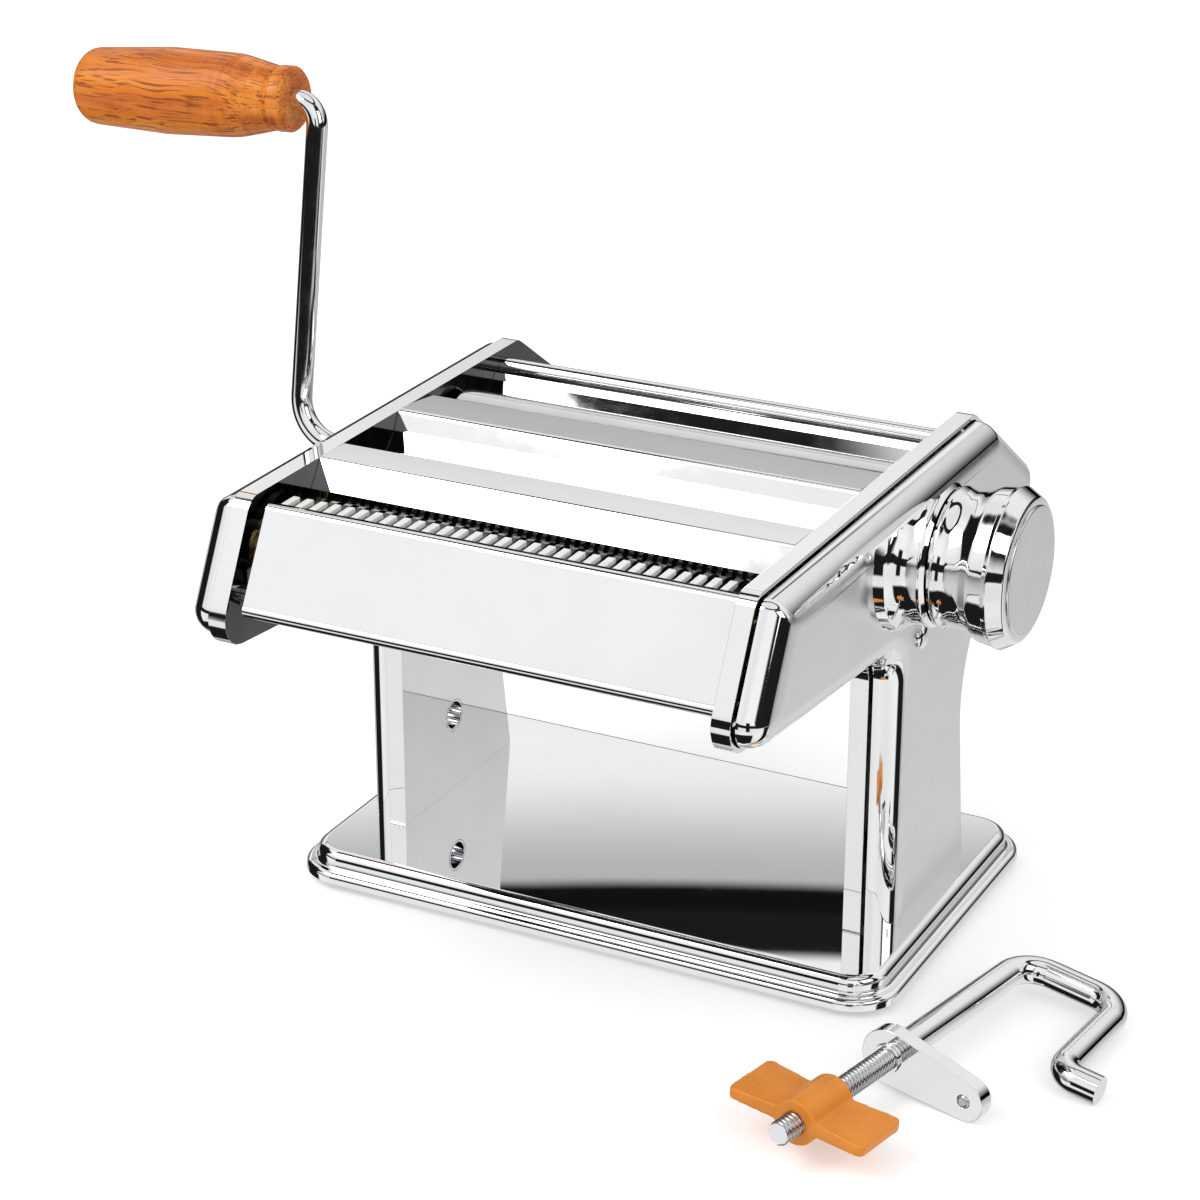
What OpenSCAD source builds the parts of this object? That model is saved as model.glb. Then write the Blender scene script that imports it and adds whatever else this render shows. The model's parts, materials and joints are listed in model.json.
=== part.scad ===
// Hand cranked pasta machine with smooth rollers, two cutter pairs and a table clamp.
// Millimetres. +X is the knob side, -Y the front, +Z up. The origin is the middle of
// the base's footprint, on the table.

/* [Base] */
// Width of the base's flat top
base_w = 197.5; // [185:0.5:220]
// Depth of the base's flat top
base_d = 120.3; // [112:0.1:140]
// Corner radius of the flat top
base_r = 12; // [8:0.5:18]
// Height of the flat top above the table
base_h = 11.5; // [10:0.5:16]
// Sheet thickness of the base
base_t = 1.2; // [0.8:0.1:2]
// Radius rolled along the top edge
base_edge = 3; // [1.5:0.5:4]
// How far the lower rim stands out past the flat top
rim_out = 3.9; // [3:0.1:7]
// Height of the rim's ledge above the table
rim_h = 6; // [5:0.1:7]
// Space between the rim and the table
rim_gap = 2.6; // [0.5:0.1:3.5]
// Radius of a rubber foot
foot_r = 8; // [5:0.5:10]
// Distance from the flat top's edge to a foot's middle
foot_in = 15; // [13:0.5:20]

/* [Side frames] */
// Clear distance between the two side frames
frame_gap = 153.6; // [150:0.1:160]
// Sheet thickness of a frame
frame_t = 1.5; // [1:0.1:2]
// Depth of the band folded round a frame's edge
band_d = 5.8; // [5:0.1:9]
// Height of the head's top edge
top_z = 153.8; // [150:0.1:160]
// Front end of the head's top edge
top_front_y = -114.6; // [-118:0.1:-112]
// Rear end of the head's top edge
top_rear_y = 47; // [40:0.5:52]
// Foremost point of the nose
nose_y = -136; // [-142:0.5:-134]
// Height of the nose's lower corner
nose_z = 112.5; // [110:0.5:116]
// Height of the head's underside at the leg
under_z = 103.5; // [98:0.5:106]
// Front edge of the leg
leg_front_y = -33; // [-40:0.5:-30]
// Rear edge of the leg on the base
leg_rear_y = 38; // [34:0.5:44]
// Rear edge of the leg at its waist
waist_y = 25; // [22:0.5:30]
// Height of the leg's waist
waist_z = 88; // [80:0.5:92]
// Rear end of the head
tail_y = 83; // [78:0.5:92]
// Lower end of the head's rear edge
tail_low_z = 110; // [106:0.5:114]
// Upper end of the head's rear edge
tail_high_z = 129; // [126:0.5:134]
// Radius of the nose's lower corner
nose_r = 9; // [6:0.5:12]
// Radius of the head's other corners
head_r = 5.5; // [3.5:0.5:7]
// Radius under the head, where the leg starts
arch_r = 9; // [5:0.5:12]
// Radius of the leg's waist
waist_r = 34; // [20:1:40]

/* [Side covers] */
// How far a cover's edge lies inside the frame's band
cover_step = 1.2; // [0.6:0.1:1.4]
// Depth of a cover
cover_d = 9.6; // [9:0.1:11]
// Sheet thickness of a cover
cover_t = 1; // [0.6:0.1:1.2]
// Radius of a cover's outer edge
cover_edge = 5; // [3:0.5:5.5]
// Radius of a crank hole in the left cover
crank_hole_r = 6; // [5:0.1:6.5]
// Height of the rivet that holds a cover
stud_z = 106; // [100:0.5:108]
// Place of that rivet along the leg
stud_y = -17; // [-20:0.5:-12]
// Radius of the rivet's domed head
stud_head_r = 4; // [3:0.1:5]
// Radius of the rivet's shank
stud_r = 2; // [1.5:0.1:2.5]

/* [Rollers] */
// Height of all the axles
axle_z = 136; // [134:0.1:138]
// Axle of the front smooth roller at its widest gap
front_y = -24.75; // [-26:0.05:-24]
// Radius of a smooth roller
roller_r = 13.5; // [12.5:0.1:13.8]
// Length of the rollers
roller_l = 149; // [146:0.5:149.4]
// Widest gap between the smooth rollers
gap_max = 2.8; // [2.6:0.1:3]
// Narrowest gap between the smooth rollers
gap_min = 0.3; // [0.2:0.1:0.6]
// Radius of a smooth roller's journals
journal_r = 6; // [5.5:0.1:6.5]
// Teeth on a smooth roller's gear
roller_teeth = 12; // [11:1:13]
// Width of all the gears
gear_w = 6; // [4:0.5:6.4]
// Across the flats of the crank's hexagonal tip
hex_af = 5.6; // [5.2:0.1:5.8]
// Depth of the crank's socket in a journal
socket_l = 13; // [10:0.5:15]
// Height of a bearing block
block_h = 18; // [16:0.5:20]

/* [Cutters] */
// Axle of the wide cutter's front roller
wide_y = -106.5; // [-107:0.1:-106]
// Axle of the narrow cutter's front roller
narrow_y = -70; // [-70.4:0.1:-69]
// Distance between the two axles of a cutter
cutter_c = 17; // [16.9:0.1:17.4]
// Outer radius of the cutting rings
ring_r = 9.5; // [9.3:0.1:9.6]
// Radius at the bottom of a groove
groove_r = 7.2; // [6.9:0.1:7.3]
// Ring spacing on the wide cutter
wide_pitch = 4.65; // [4.4:0.05:5.2]
// Ring spacing on the narrow cutter
narrow_pitch = 3.1; // [2.9:0.05:3.6]
// Gap between a ring and the groove wall beside it
ring_gap = 0.12; // [0.05:0.01:0.2]
// Radius of a cutter's journals
cutter_journal_r = 5.5; // [5.2:0.1:5.8]
// Teeth on a cutter's gear
cutter_teeth = 10; // [9:1:11]

/* [Panels] */
// Thickness of the panel and the guards
panel_t = 1; // [0.8:0.1:1.2]
// Gap between each end of the front panel and its frame
panel_gap = 0.8; // [0.5:0.1:2]
// Upper edge of the front panel
panel_top = [-111.8, 151.5];
// Lower edge of the front panel
panel_low = [-126.4, 125.2];
// Radius of the hem rolled along the panel's lower edge
hem_r = 2; // [1.2:0.1:2.2]
// Length of the panel's upper lip
lip_l = 3.5; // [2.5:0.1:4]
// Width of a tooth of the front comb
comb_tooth_w = 2.3; // [1.6:0.1:2.6]
// Length of a tooth of the front comb
comb_tooth_l = 7; // [5:0.5:7.5]
// Radius of the rod that carries the front panel
tie_r = 3; // [2.5:0.1:3.2]
// Radius of the round bar behind the feed guide
bar_r = 2.9; // [2.5:0.1:3.5]
// Radius of the screws in the rods and the bar
tie_screw_r = 1.5; // [1:0.1:1.8]
// Length of a rod's screw inside the rod
tie_screw_l = 8; // [5:0.5:12]

/* [Knob] */
// Knob axis, measured from the middle of the base
knob_y = -35; // [-35.5:0.1:-33]
// Height of the knob's axis
knob_z = 140.8; // [139:0.1:142]
// Length of the collar on the right cover
collar_l = 14.5; // [13:0.5:17]
// Radius of the collar where it meets the cover
collar_root_r = 24.5; // [23:0.1:26]
// Radius of the collar's neck
collar_neck_r = 20; // [18:0.1:21]
// Length of the knob
knob_l = 24; // [23.5:0.5:28]
// Radius of the knob's waist
knob_waist_r = 19.5; // [18:0.1:21]
// Radius of the knob's head
knob_head_r = 23; // [22:0.1:25]
// Radius of the knob's face disc
knob_face_r = 20; // [18:0.1:21]
// How far the knob pulls out
knob_pull = 6; // [4:0.5:7]
// Radius of the knob's shaft
shaft_r = 5; // [4.5:0.1:5.5]
// Gap between the collar and the knob
knob_gap = 0.8; // [0.5:0.1:1.2]
// Radius of the index pin
pin_r = 1.5; // [1:0.1:1.8]
// Distance from the knob's axis to the index pin
pin_at = 14; // [13:0.1:15]
// Number of roller settings
settings = 7; // [5:1:9]
// Radius of the spring's wire
wire_r = 0.55; // [0.4:0.05:0.6]
// Turns in the spring
spring_turns = 5; // [4:1:6]

/* [Crank] */
// Radius of the crank's rod
crank_r = 3.4; // [3.3:0.1:3.8]
// Distance from the left cover to the crank's arm
crank_out = 25; // [24:0.5:40]
// Length of the crank's arm
crank_arm = 106; // [98:0.5:112]
// Bend radius at the arm's lower end
crank_low_bend = 14; // [10:0.5:16]
// Bend radius at the arm's upper end
crank_top_bend = 7.7; // [6:0.1:9]
// Lean of the arm towards the rear, in degrees
crank_lean = 9.9; // [0:0.1:15]
// Droop of the grip's outer end, in degrees
grip_droop = 3; // [0:0.5:5]
// Length of the grip
grip_l = 77.5; // [70:0.5:86]
// Largest radius of the grip
grip_r = 13.7; // [12:0.1:15]
// Radius of the grip's neck
grip_neck_r = 10.3; // [9:0.1:11]
// Depth of the rod's hole in the grip
grip_hole_l = 62; // [50:0.5:64]

/* [Clamp] */
// Radius of the clamp's rod and of its peg
clamp_r = 4.25; // [4:0.05:4.5]
// Radius of the rod's threaded stem
stem_r = 3.1; // [2.8:0.1:3.4]
// Length of the threaded stem
stem_l = 52.5; // [45:0.5:53]
// Threaded end of the clamp on the table
clamp_at = [106.6, -147.5];
// Height of that end above the table
clamp_z = 12.2; // [12:0.1:14]
// Heading of the clamp's rod from that end, in degrees
clamp_heading = 78.6; // [70:0.1:86]
// Fall of the rod towards its bends, in degrees
clamp_fall = 1.4; // [0:0.1:2]
// Rod length from the threaded end to the first bend
clamp_leg = 117.9; // [110:0.1:125]
// Straight length across the hook
clamp_cross = 14.7; // [12:0.1:24]
// Straight length of the return leg
clamp_return = 28.7; // [24:0.1:34]
// Straight length of the peg
clamp_peg = 7.2; // [6:0.1:12]
// Bend radius at the middle of the rod
clamp_bend = 10; // [8:0.5:12]
// Bend radius next to the peg
peg_bend = 6.5; // [5:0.5:9]
// Place of the arm along the rod
arm_at = 53.5; // [53:0.5:62]
// Radius of the arm's wide end
arm_big_r = 8.6; // [7.5:0.1:10]
// Radius of the arm's narrow end
arm_small_r = 6.2; // [5:0.1:7]
// Distance between the arm's two ends
arm_l = 26; // [22:0.5:34]
// Thickness of the arm
arm_t = 5; // [3:0.1:6]
// Place of the wing nut along the rod
nut_at = 7.5; // [6:0.5:14]
// Length of the wing nut's hub
nut_l = 19; // [14:0.5:22]
// Radius of the wing nut's hub
nut_r = 6.9; // [6:0.1:9]
// Span of the wings
wing_span = 45; // [40:0.5:54]
// Thickness of a wing at its tip
wing_t = 4.5; // [3:0.1:8]
// Roll of the wing nut, in degrees
nut_roll = 3; // [0:0.5:10]

/* [Fits] */
// Radial clearance of a running fit
run = 0.06; // [0.03:0.01:0.1]
// Radial clearance of a fixed fit
seat = 0.03; // [0.02:0.01:0.05]
// Clearance between parts that pass each other
pass = 0.3; // [0.3:0.05:0.5]

/* [Hidden] */
$fn = 64;
// Straight stretches in each rounded corner
arc_steps = 6;
// Stations along X, from the middle of the machine outwards
frame_x = frame_gap / 2;
plate_x = frame_x + frame_t;
band_x = frame_x + band_d;
cover_x = band_x + cover_d;
cover_in_x = cover_x - cover_t;
gear_x = plate_x + 1.7;
roller_x = roller_l / 2;
// Width of the front panel
panel_w = frame_gap - 2 * panel_gap;
// Axles of the smooth rollers and the cutters
throw = (gap_max - gap_min) / 2;
rear_y = front_y + 2 * roller_r + gap_max;
cutter_axles = [wide_y, wide_y + cutter_c, narrow_y, narrow_y + cutter_c];
// Bushes: a collar inside the frame and a sleeve through it
bush_flange_t = 1.6;
bush_wall = 1.7;
bush_flange = 1.1;
bush_end_x = plate_x + 1;
// Knob stations along X
collar_x = cover_x + collar_l;
knob_x = collar_x + knob_gap;
knob_end_x = knob_x + knob_l;
knob_at = [knob_y, knob_z];
pin_place = [knob_y - pin_at, knob_z];
shoulder_r = shaft_r + 0.9;
cap_t = 1.6;
// Screws between the frames' feet and the base
foot_screw_r = 2;
foot_screw_x = plate_x + 4.9;
foot_screw_ys = [leg_front_y + 13, leg_rear_y - 14];
foot_flange_x = cover_in_x - 1.2;
foot_nut_h = 3;
foot_head_h = 2.4;
foot_head_r = 3.6;
// Rods between the frames
tie_at = [panel_low[0] + 7, panel_low[1] + 1.2];
bar_at = [rear_y + 31, axle_z + 12];
under_rod_at = [leg_front_y + 27, axle_z - 33];
rods = [[tie_at, tie_r], [bar_at, bar_r], [under_rod_at, tie_r]];
// The clamp's socket low on the left leg
socket_at = [leg_front_y + 33, base_h + 26];
socket_r = clamp_r + 0.25;
socket_wall = 2;
// Outline of a side, as [y, z, corner radius], turning left all the way round. Its corners
// leave room for the covers' rounded edge.
side_r = max(head_r, cover_step + cover_edge + 0.3);
function side_corners(foot_z) = [
    [top_front_y, top_z, side_r],
    [nose_y, nose_z, nose_r],
    [leg_front_y, under_z, arch_r],
    [leg_front_y, foot_z, 0.6],
    [leg_rear_y, foot_z, 0.6],
    [waist_y, waist_z, waist_r],
    [tail_y, tail_low_z, side_r],
    [tail_y, tail_high_z, side_r],
    [top_rear_y, top_z, side_r]
];

// Colours
chrome = [0.82, 0.83, 0.85];
steel = [0.62, 0.63, 0.65];
dark_steel = [0.4, 0.41, 0.43];
brass = [0.78, 0.64, 0.33];
rubber = [0.12, 0.12, 0.13];
wood = [0.72, 0.36, 0.13];
orange = [0.86, 0.45, 0.12];
white = [0.9, 0.9, 0.88];

// Unit vector from a to b
function heading(a, b) = (b - a) / norm(b - a);
// A quarter turn to the left
function left_of(v) = [-v[1], v[0]];
// The place of a corner, without its radius
function place(c) = [c[0], c[1]];

// Moves every edge of an outline to its left by d and fits the corner radii to it
function shifted(c, d, closed = true, least = 0) = [
    for (i = [0 : len(c) - 1])
        let (
            n = len(c),
            p = place(c[i]),
            before = place(c[(i + n - 1) % n]),
            after = place(c[(i + 1) % n]),
            first = !closed && i == 0,
            last = !closed && i == n - 1,
            go_in = first ? heading(p, after) : heading(before, p),
            go_out = last ? heading(before, p) : heading(p, after),
            side = left_of(go_in) + left_of(go_out),
            q = p + side * d / (1 + left_of(go_in) * left_of(go_out)),
            left_turn = go_in[0] * go_out[1] - go_in[1] * go_out[0] > 0
        )
        [q[0], q[1], max(least, c[i][2] == 0 ? 0 : c[i][2] + (left_turn ? -d : d))]
];

// Points of one rounded corner at p, between the points a and b
function corner_points(a, p, b, r) =
    r < 0.01 ? [p] :
    let (
        u = heading(p, a),
        w = heading(p, b),
        half = acos(u * w) / 2,
        middle = p + (u + w) / norm(u + w) * r / sin(half),
        from = p + u * r / tan(half) - middle,
        to = p + w * r / tan(half) - middle,
        start = atan2(from[1], from[0]),
        sweep = (atan2(to[1], to[0]) - start + 540) % 360 - 180
    )
    [for (i = [0 : arc_steps])
        middle + r * [cos(start + sweep * i / arc_steps), sin(start + sweep * i / arc_steps)]];

// Points of an outline with all its corners rounded
function rounded(c, closed = true) = [
    for (i = [0 : len(c) - 1])
        let (
            n = len(c),
            end = !closed && (i == 0 || i == n - 1),
            r = end ? 0 : c[i][2]
        )
        each corner_points(place(c[(i + n - 1) % n]), place(c[i]), place(c[(i + 1) % n]), r)
];

function reversed(list) = [for (i = [len(list) - 1 : -1 : 0]) list[i]];

// Rings of points skinned into one closed solid. flat lists the faces that close the first
// ring, by the numbers of its points; without it, one face closes each end.
module skin(rings, flat = []) {
    n = len(rings[0]);
    last = (len(rings) - 1) * n;
    sides = [
        for (k = [0 : len(rings) - 2])
            for (i = [0 : n - 1])
                let (a = k * n + i, b = k * n + (i + 1) % n)
                each [[a, a + n, b], [b, a + n, b + n]]
    ];
    first_faces = len(flat) > 0 ? flat : [[for (i = [0 : n - 1]) i]];
    last_faces = [for (f = first_faces) [for (i = reversed(f)) last + i]];
    polyhedron(points = [for (ring = rings) each ring], faces = concat(sides, first_faces, last_faces));
}

// Extrudes a profile drawn in Y and Z from x0 to x1
module along_x(x0, x1) {
    translate([x0, 0, 0])
        rotate([90, 0, 90])
            linear_extrude(x1 - x0)
                children();
}

// Turns a profile of [x, radius] points round an axis along X through [y, z]
module turned(at, points) {
    translate([0, at[0], at[1]])
        rotate([0, 90, 0])
            rotate_extrude()
                polygon([for (p = points) [p[1], p[0]]]);
}

// A round bar along X
module bar_x(at, r, x0, x1) {
    translate([x0, at[0], at[1]])
        rotate([0, 90, 0])
            cylinder(r = r, h = x1 - x0);
}

// A hexagonal bar along X, given across its flats
module hex_x(at, af, x0, x1) {
    translate([x0, at[0], at[1]])
        rotate([0, 90, 0])
            cylinder(r = af / sqrt(3), h = x1 - x0, $fn = 6);
}

// A sheet bent along a path, with its thickness on the path's left
module sheet(path, t) {
    polygon(concat(rounded(path, false), reversed(rounded(shifted(path, t, false), false))));
}

module on_left() {
    mirror([1, 0, 0])
        children();
}

module both_sides() {
    children();
    on_left()
        children();
}

// Swept profiles and the base

// A rectangle with round corners
module round_rect(w, d, r) {
    square([w - 2 * r, d], center = true);
    square([w, d - 2 * r], center = true);
    for (x = [-1, 1], y = [-1, 1])
        translate([x * (w / 2 - r), y * (d / 2 - r)])
            circle(r);
}

// Sweeps a profile round a rectangle with round corners, where x = 0 is its outline
module rim_sweep(w, d, r) {
    for (turn = [0 : 3]) {
        long = turn % 2 == 0 ? d : w;
        out = turn % 2 == 0 ? w : d;
        rotate(turn * 90) {
            translate([out / 2, long / 2 - r, 0])
                rotate([90, 0, 0])
                    linear_extrude(long - 2 * r)
                        children();
            translate([out / 2 - r, long / 2 - r, 0])
                rotate_extrude(angle = 90)
                    translate([r, 0])
                        children();
        }
    }
}

// The base's edge in section: rolled top edge, wall, ledge and lower rim
base_section = [
    [-base_edge, base_h, 0],
    [0, base_h, base_edge],
    [0, rim_h, 1.2],
    [rim_out, rim_h, 1.8],
    [rim_out, rim_gap, 0]
];

module base_plate() {
    color(chrome)
        difference() {
            union() {
                translate([0, 0, base_h - base_t])
                    linear_extrude(base_t)
                        round_rect(base_w - 2 * base_edge, base_d - 2 * base_edge, base_r - base_edge);
                rim_sweep(base_w, base_d, base_r)
                    sheet(reversed(base_section), base_t);
            }
            foot_screw_holes(base_h - base_t - 1, base_h + 1);
        }
}

module foot_screw_places() {
    for (x = [-foot_screw_x, foot_screw_x], y = foot_screw_ys)
        translate([x, y, 0])
            children();
}

module foot_screw_holes(z0, z1) {
    foot_screw_places()
        translate([0, 0, z0])
            cylinder(r = foot_screw_r + seat, h = z1 - z0);
}

module rubber_feet() {
    foot_h = base_h - base_t;
    color(rubber)
        for (x = [-1, 1], y = [-1, 1])
            translate([x * (base_w / 2 - foot_in), y * (base_d / 2 - foot_in), 0])
                rotate_extrude()
                    polygon([[0, 0], [foot_r - 1.5, 0], [foot_r, 1.5], [foot_r - 1, foot_h], [0, foot_h]]);
}

// Side frames and covers

module side_face(d) {
    polygon(rounded(shifted(side_corners(base_h), d)));
}

// The holes that both frames share
module frame_holes() {
    x0 = frame_x - 1;
    x1 = plate_x + 1;
    bar_x([rear_y, axle_z], journal_r + run + bush_wall + seat, x0, x1);
    for (y = cutter_axles)
        bar_x([y, axle_z], cutter_journal_r + run + bush_wall + seat, x0, x1);
    for (rod = rods)
        bar_x(rod[0], tie_screw_r + seat, x0, x1);
    bar_x([stud_y, stud_z], stud_r + seat, x0, x1);
    // Slot in which the bearing block slides
    translate([x0, front_y - block_h / 2 - run, axle_z - block_h / 2 - run])
        cube([x1 - x0, block_h + 2 * throw + 2 * run, block_h + 2 * run]);
    foot_screw_holes(base_h - 1, base_h + frame_t + 1);
}

module side_frame() {
    color(chrome)
        difference() {
            union() {
                along_x(frame_x, plate_x)
                    side_face(0);
                along_x(frame_x, band_x)
                    difference() {
                        side_face(0);
                        side_face(frame_t);
                    }
                translate([frame_x, leg_front_y + 4, base_h])
                    cube([foot_flange_x - frame_x, leg_rear_y - leg_front_y - 8, frame_t]);
            }
            frame_holes();
        }
}

module right_frame() {
    side_frame();
}

module left_frame() {
    difference() {
        on_left()
            side_frame();
        bar_x(socket_at, socket_r + 1 + seat, -plate_x - 1, -frame_x + 1);
    }
}

// One ring of a cover: the side's outline moved in by d, at station x
function cover_ring(x, d) = [
    for (p = rounded(shifted(side_corners(base_h - cover_edge - 8), d, true, 0.4))) [x, p[0], p[1]]
];

// The rings of a cover's outer or inner face, from its open rim to its flat
function cover_rings(d, x_flat, edge) = concat(
    [cover_ring(band_x, d)],
    [for (i = [0 : arc_steps])
        let (a = 90 * i / arc_steps)
        cover_ring(x_flat - edge * (1 - sin(a)), d + edge * (1 - cos(a)))]
);

// Number of the first point of a corner in a ring
function corner_start(corner) = corner * (arc_steps + 1);

// A cover's flat as convex faces: the nose, the rest of the head, the top of the leg and its foot
under_start = corner_start(2);
under_end = corner_start(3) - 1;
waist_start = corner_start(5);
waist_end = corner_start(6) - 1;
cover_flat = concat(
    [[for (i = [0 : under_start]) i]],
    [[0, under_start, for (i = [waist_end : corner_start(9) - 1]) i]],
    [for (i = [0 : arc_steps - 1])
        each [[under_start + i, under_start + i + 1, waist_end - i],
              [under_start + i + 1, waist_end - i - 1, waist_end - i]]],
    [[for (i = [under_end : waist_start]) i]]
);

// The cover's pressed sheet, open towards the frame and at the foot of the leg
module cover_shell() {
    inner = cover_rings(cover_step + cover_t, cover_in_x, cover_edge - cover_t);
    outer = cover_rings(cover_step, cover_x, cover_edge);
    difference() {
        skin(concat(reversed(inner), outer), cover_flat);
        translate([frame_x, leg_front_y - 10, base_h - 40])
            cube([cover_x, leg_rear_y - leg_front_y + 20, 40]);
        bar_x([stud_y, stud_z], stud_r + seat, cover_in_x - 1, cover_x + 1);
    }
}

// The collar's outline, as [x, radius] from the cover out to the knob
collar_line = [
    [cover_in_x, collar_root_r, 0],
    [cover_x + 1, collar_root_r, 1],
    [cover_x + 4, collar_root_r - 1.2, 3],
    [cover_x + 8, collar_neck_r, 9],
    [collar_x - 1.5, collar_neck_r + 1.3, 1.5],
    [collar_x, collar_neck_r, 0]
];

// The collar is trimmed by a plane that rises from the upper edge of the cover's flat
trim_z = top_z - cover_step - cover_edge;
trim_lean = atan((knob_z + collar_neck_r + 2 - trim_z) / collar_l);

// Everything above that plane, moved down by drop
module above_trim(drop) {
    translate([cover_x, knob_y - 40, trim_z - drop])
        rotate([0, -trim_lean, 0])
            translate([-20, 0, 0])
                cube([80, 80, 60]);
}

module collar_outside() {
    difference() {
        turned(knob_at, concat([[cover_in_x, 0]], rounded(collar_line, false), [[collar_x, 0]]));
        above_trim(0);
    }
}

// The hollow under the collar, which leaves a thick end wall for the knob's bush
module collar_inside() {
    wall = 1.4;
    end_t = 3;
    difference() {
        turned(knob_at, [
            [cover_in_x - 1, 0],
            [cover_in_x - 1, collar_root_r - wall],
            [cover_x + 3, collar_root_r - wall - 1.2],
            [cover_x + 8, collar_neck_r - wall],
            [collar_x - end_t, collar_neck_r - wall],
            [collar_x - end_t, 0]
        ]);
        above_trim(wall / cos(trim_lean));
    }
}

module right_cover() {
    color(chrome)
        difference() {
            union() {
                cover_shell();
                collar_outside();
            }
            collar_inside();
            bar_x(knob_at, shoulder_r + pass, cover_in_x - 1, cover_x + 1);
            bar_x(knob_at, shaft_r + run + bush_wall + seat, cover_x + 1, collar_x + 1);
            bar_x(pin_place, pin_r + seat, cover_x, collar_x + 1);
        }
}

module left_cover() {
    color(chrome)
        difference() {
            on_left()
                cover_shell();
            for (y = [front_y + throw, wide_y + cutter_c, narrow_y + cutter_c])
                bar_x([y, axle_z], crank_hole_r, -cover_x - 1, -cover_in_x + 1);
            bar_x(socket_at, socket_r + socket_wall + seat, -cover_x - 1, -cover_in_x + 1);
        }
}

module cover_studs() {
    color(chrome)
        both_sides()
            turned([stud_y, stud_z], concat(
                [[frame_x - 1.2, 0], [frame_x - 1.2, stud_r + 1.5], [frame_x, stud_r + 1.5], [frame_x, stud_r],
                 [cover_x, stud_r]],
                [for (a = [0 : 15 : 90]) [cover_x + 2.2 * sin(a), stud_head_r * cos(a)]]
            ));
}

module clamp_socket() {
    color(steel)
        difference() {
            union() {
                bar_x(socket_at, socket_r + 1, -plate_x, -frame_x);
                bar_x(socket_at, socket_r + socket_wall, -cover_x, -plate_x);
                bar_x(socket_at, socket_r + socket_wall + 1.5, -cover_x - 1.2, -cover_x);
            }
            bar_x(socket_at, socket_r, -cover_x - 2, -frame_x + 1);
        }
}

// Panel, guards, scrapers and rods between the frames

panel_line = [
    [panel_low[0], panel_low[1], 0],
    [panel_top[0], panel_top[1], 2.2],
    [panel_top[0] + lip_l, panel_top[1] - 0.6, 0]
];

module front_panel() {
    ear_x = panel_w / 2;
    lean = heading(panel_low, panel_top);
    inward = [lean[1], -lean[0]];
    ear = [
        place(panel_low) + inward * panel_t + lean,
        place(panel_low) + inward * (panel_t + 8.6) + lean * 0.4,
        place(panel_low) + inward * (panel_t + 8.6) + lean * 6.4,
        place(panel_low) + inward * panel_t + lean * 17
    ];
    color(chrome)
        difference() {
            union() {
                along_x(-ear_x, ear_x)
                    sheet(reversed(panel_line), panel_t);
                bar_x(panel_low + inward * hem_r - lean * hem_r * 0.5, hem_r, -ear_x, ear_x);
                for (x = [-ear_x, ear_x - panel_t])
                    along_x(x, x + panel_t)
                        polygon(ear);
            }
            bar_x(tie_at, tie_r + seat, -frame_x, frame_x);
        }
}

// Teeth that point back from the panel's upper lip towards the wide cutter's grooves
module front_comb() {
    root = [panel_top[0] + lip_l, panel_top[1] - 0.6 - panel_t - 2 * seat];
    count = floor(2 * (panel_w / 2 - 2) / wide_pitch) - 1;
    tooth_t = 1;
    color(white) {
        along_x(-panel_w / 2, panel_w / 2)
            polygon([root + [-1.6, 0], root + [-1.6, -tooth_t], root + [0.5, -tooth_t], root + [0.5, 0]]);
        for (i = [0 : count])
            let (x = (i - count / 2) * wide_pitch)
            along_x(x - comb_tooth_w / 2, x + comb_tooth_w / 2)
                polygon([root + [0.4, 0], root + [0.4, -tooth_t], root + [comb_tooth_l, -tooth_t - 1.4],
                         root + [comb_tooth_l, -1.6]]);
    }
}

// Ridge between the two cutters: a sloped front, a flat top and a short rear lip
mid_low = [wide_y + cutter_c + 7, axle_z + 9.6];
mid_line = [
    [mid_low[0], mid_low[1], 0],
    [mid_low[0] + 5.6, top_z + 0.2, 1.6],
    [narrow_y + cutter_c / 2 - 0.8, top_z - 0.1, 2],
    [narrow_y + cutter_c / 2 + 0.4, top_z - 3, 0]
];

module mid_guard() {
    color(chrome)
        along_x(-frame_x, frame_x)
            sheet(reversed(mid_line), panel_t);
}

// Cover over the front smooth roller, folded twice
guard_line = [
    [front_y - 14.2, axle_z + 6.9, 0],
    [front_y - 9.2, axle_z + 12.4, 2],
    [front_y - 6, top_z + 0.4, 2],
    [front_y + 14, top_z - 0.8, 2],
    [front_y + 14.8, top_z - 3.2, 0]
];

module roller_guard() {
    color(chrome)
        along_x(-frame_x, frame_x)
            sheet(reversed(guard_line), panel_t);
}

// Slide that leads the sheet down to the smooth rollers
guide_line = [
    [rear_y + roller_r + 3, axle_z + 2, 0],
    [rear_y + roller_r + 11, axle_z + 8.9, 2],
    [rear_y + roller_r + 12.6, axle_z + 11, 0]
];

module feed_guide() {
    color(chrome)
        along_x(-frame_x, frame_x)
            sheet(guide_line, panel_t);
}

module chute_plate() {
    color(chrome)
        along_x(-frame_x, frame_x)
            sheet([
                [leg_front_y + 5, under_z - 8, 0],
                [leg_front_y + 4, under_z + 14, 3],
                [leg_front_y - 1, under_z + 18.5, 0]
            ], panel_t);
}

// A blade whose tip lies just under a smooth roller
module scraper(y, lean) {
    tip = [y, axle_z - roller_r - pass];
    color(steel)
        along_x(-frame_x, frame_x)
            polygon([tip, tip + [lean * 9, -6], tip + [lean * 9, -9], tip + [lean * 7.8, -9],
                     tip + [lean * 7.8, -6.6], tip + [-lean * 0.4, -0.8]]);
}

module front_scraper() {
    scraper(front_y, 1);
}

module rear_scraper() {
    scraper(rear_y + 2, 1);
}

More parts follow.
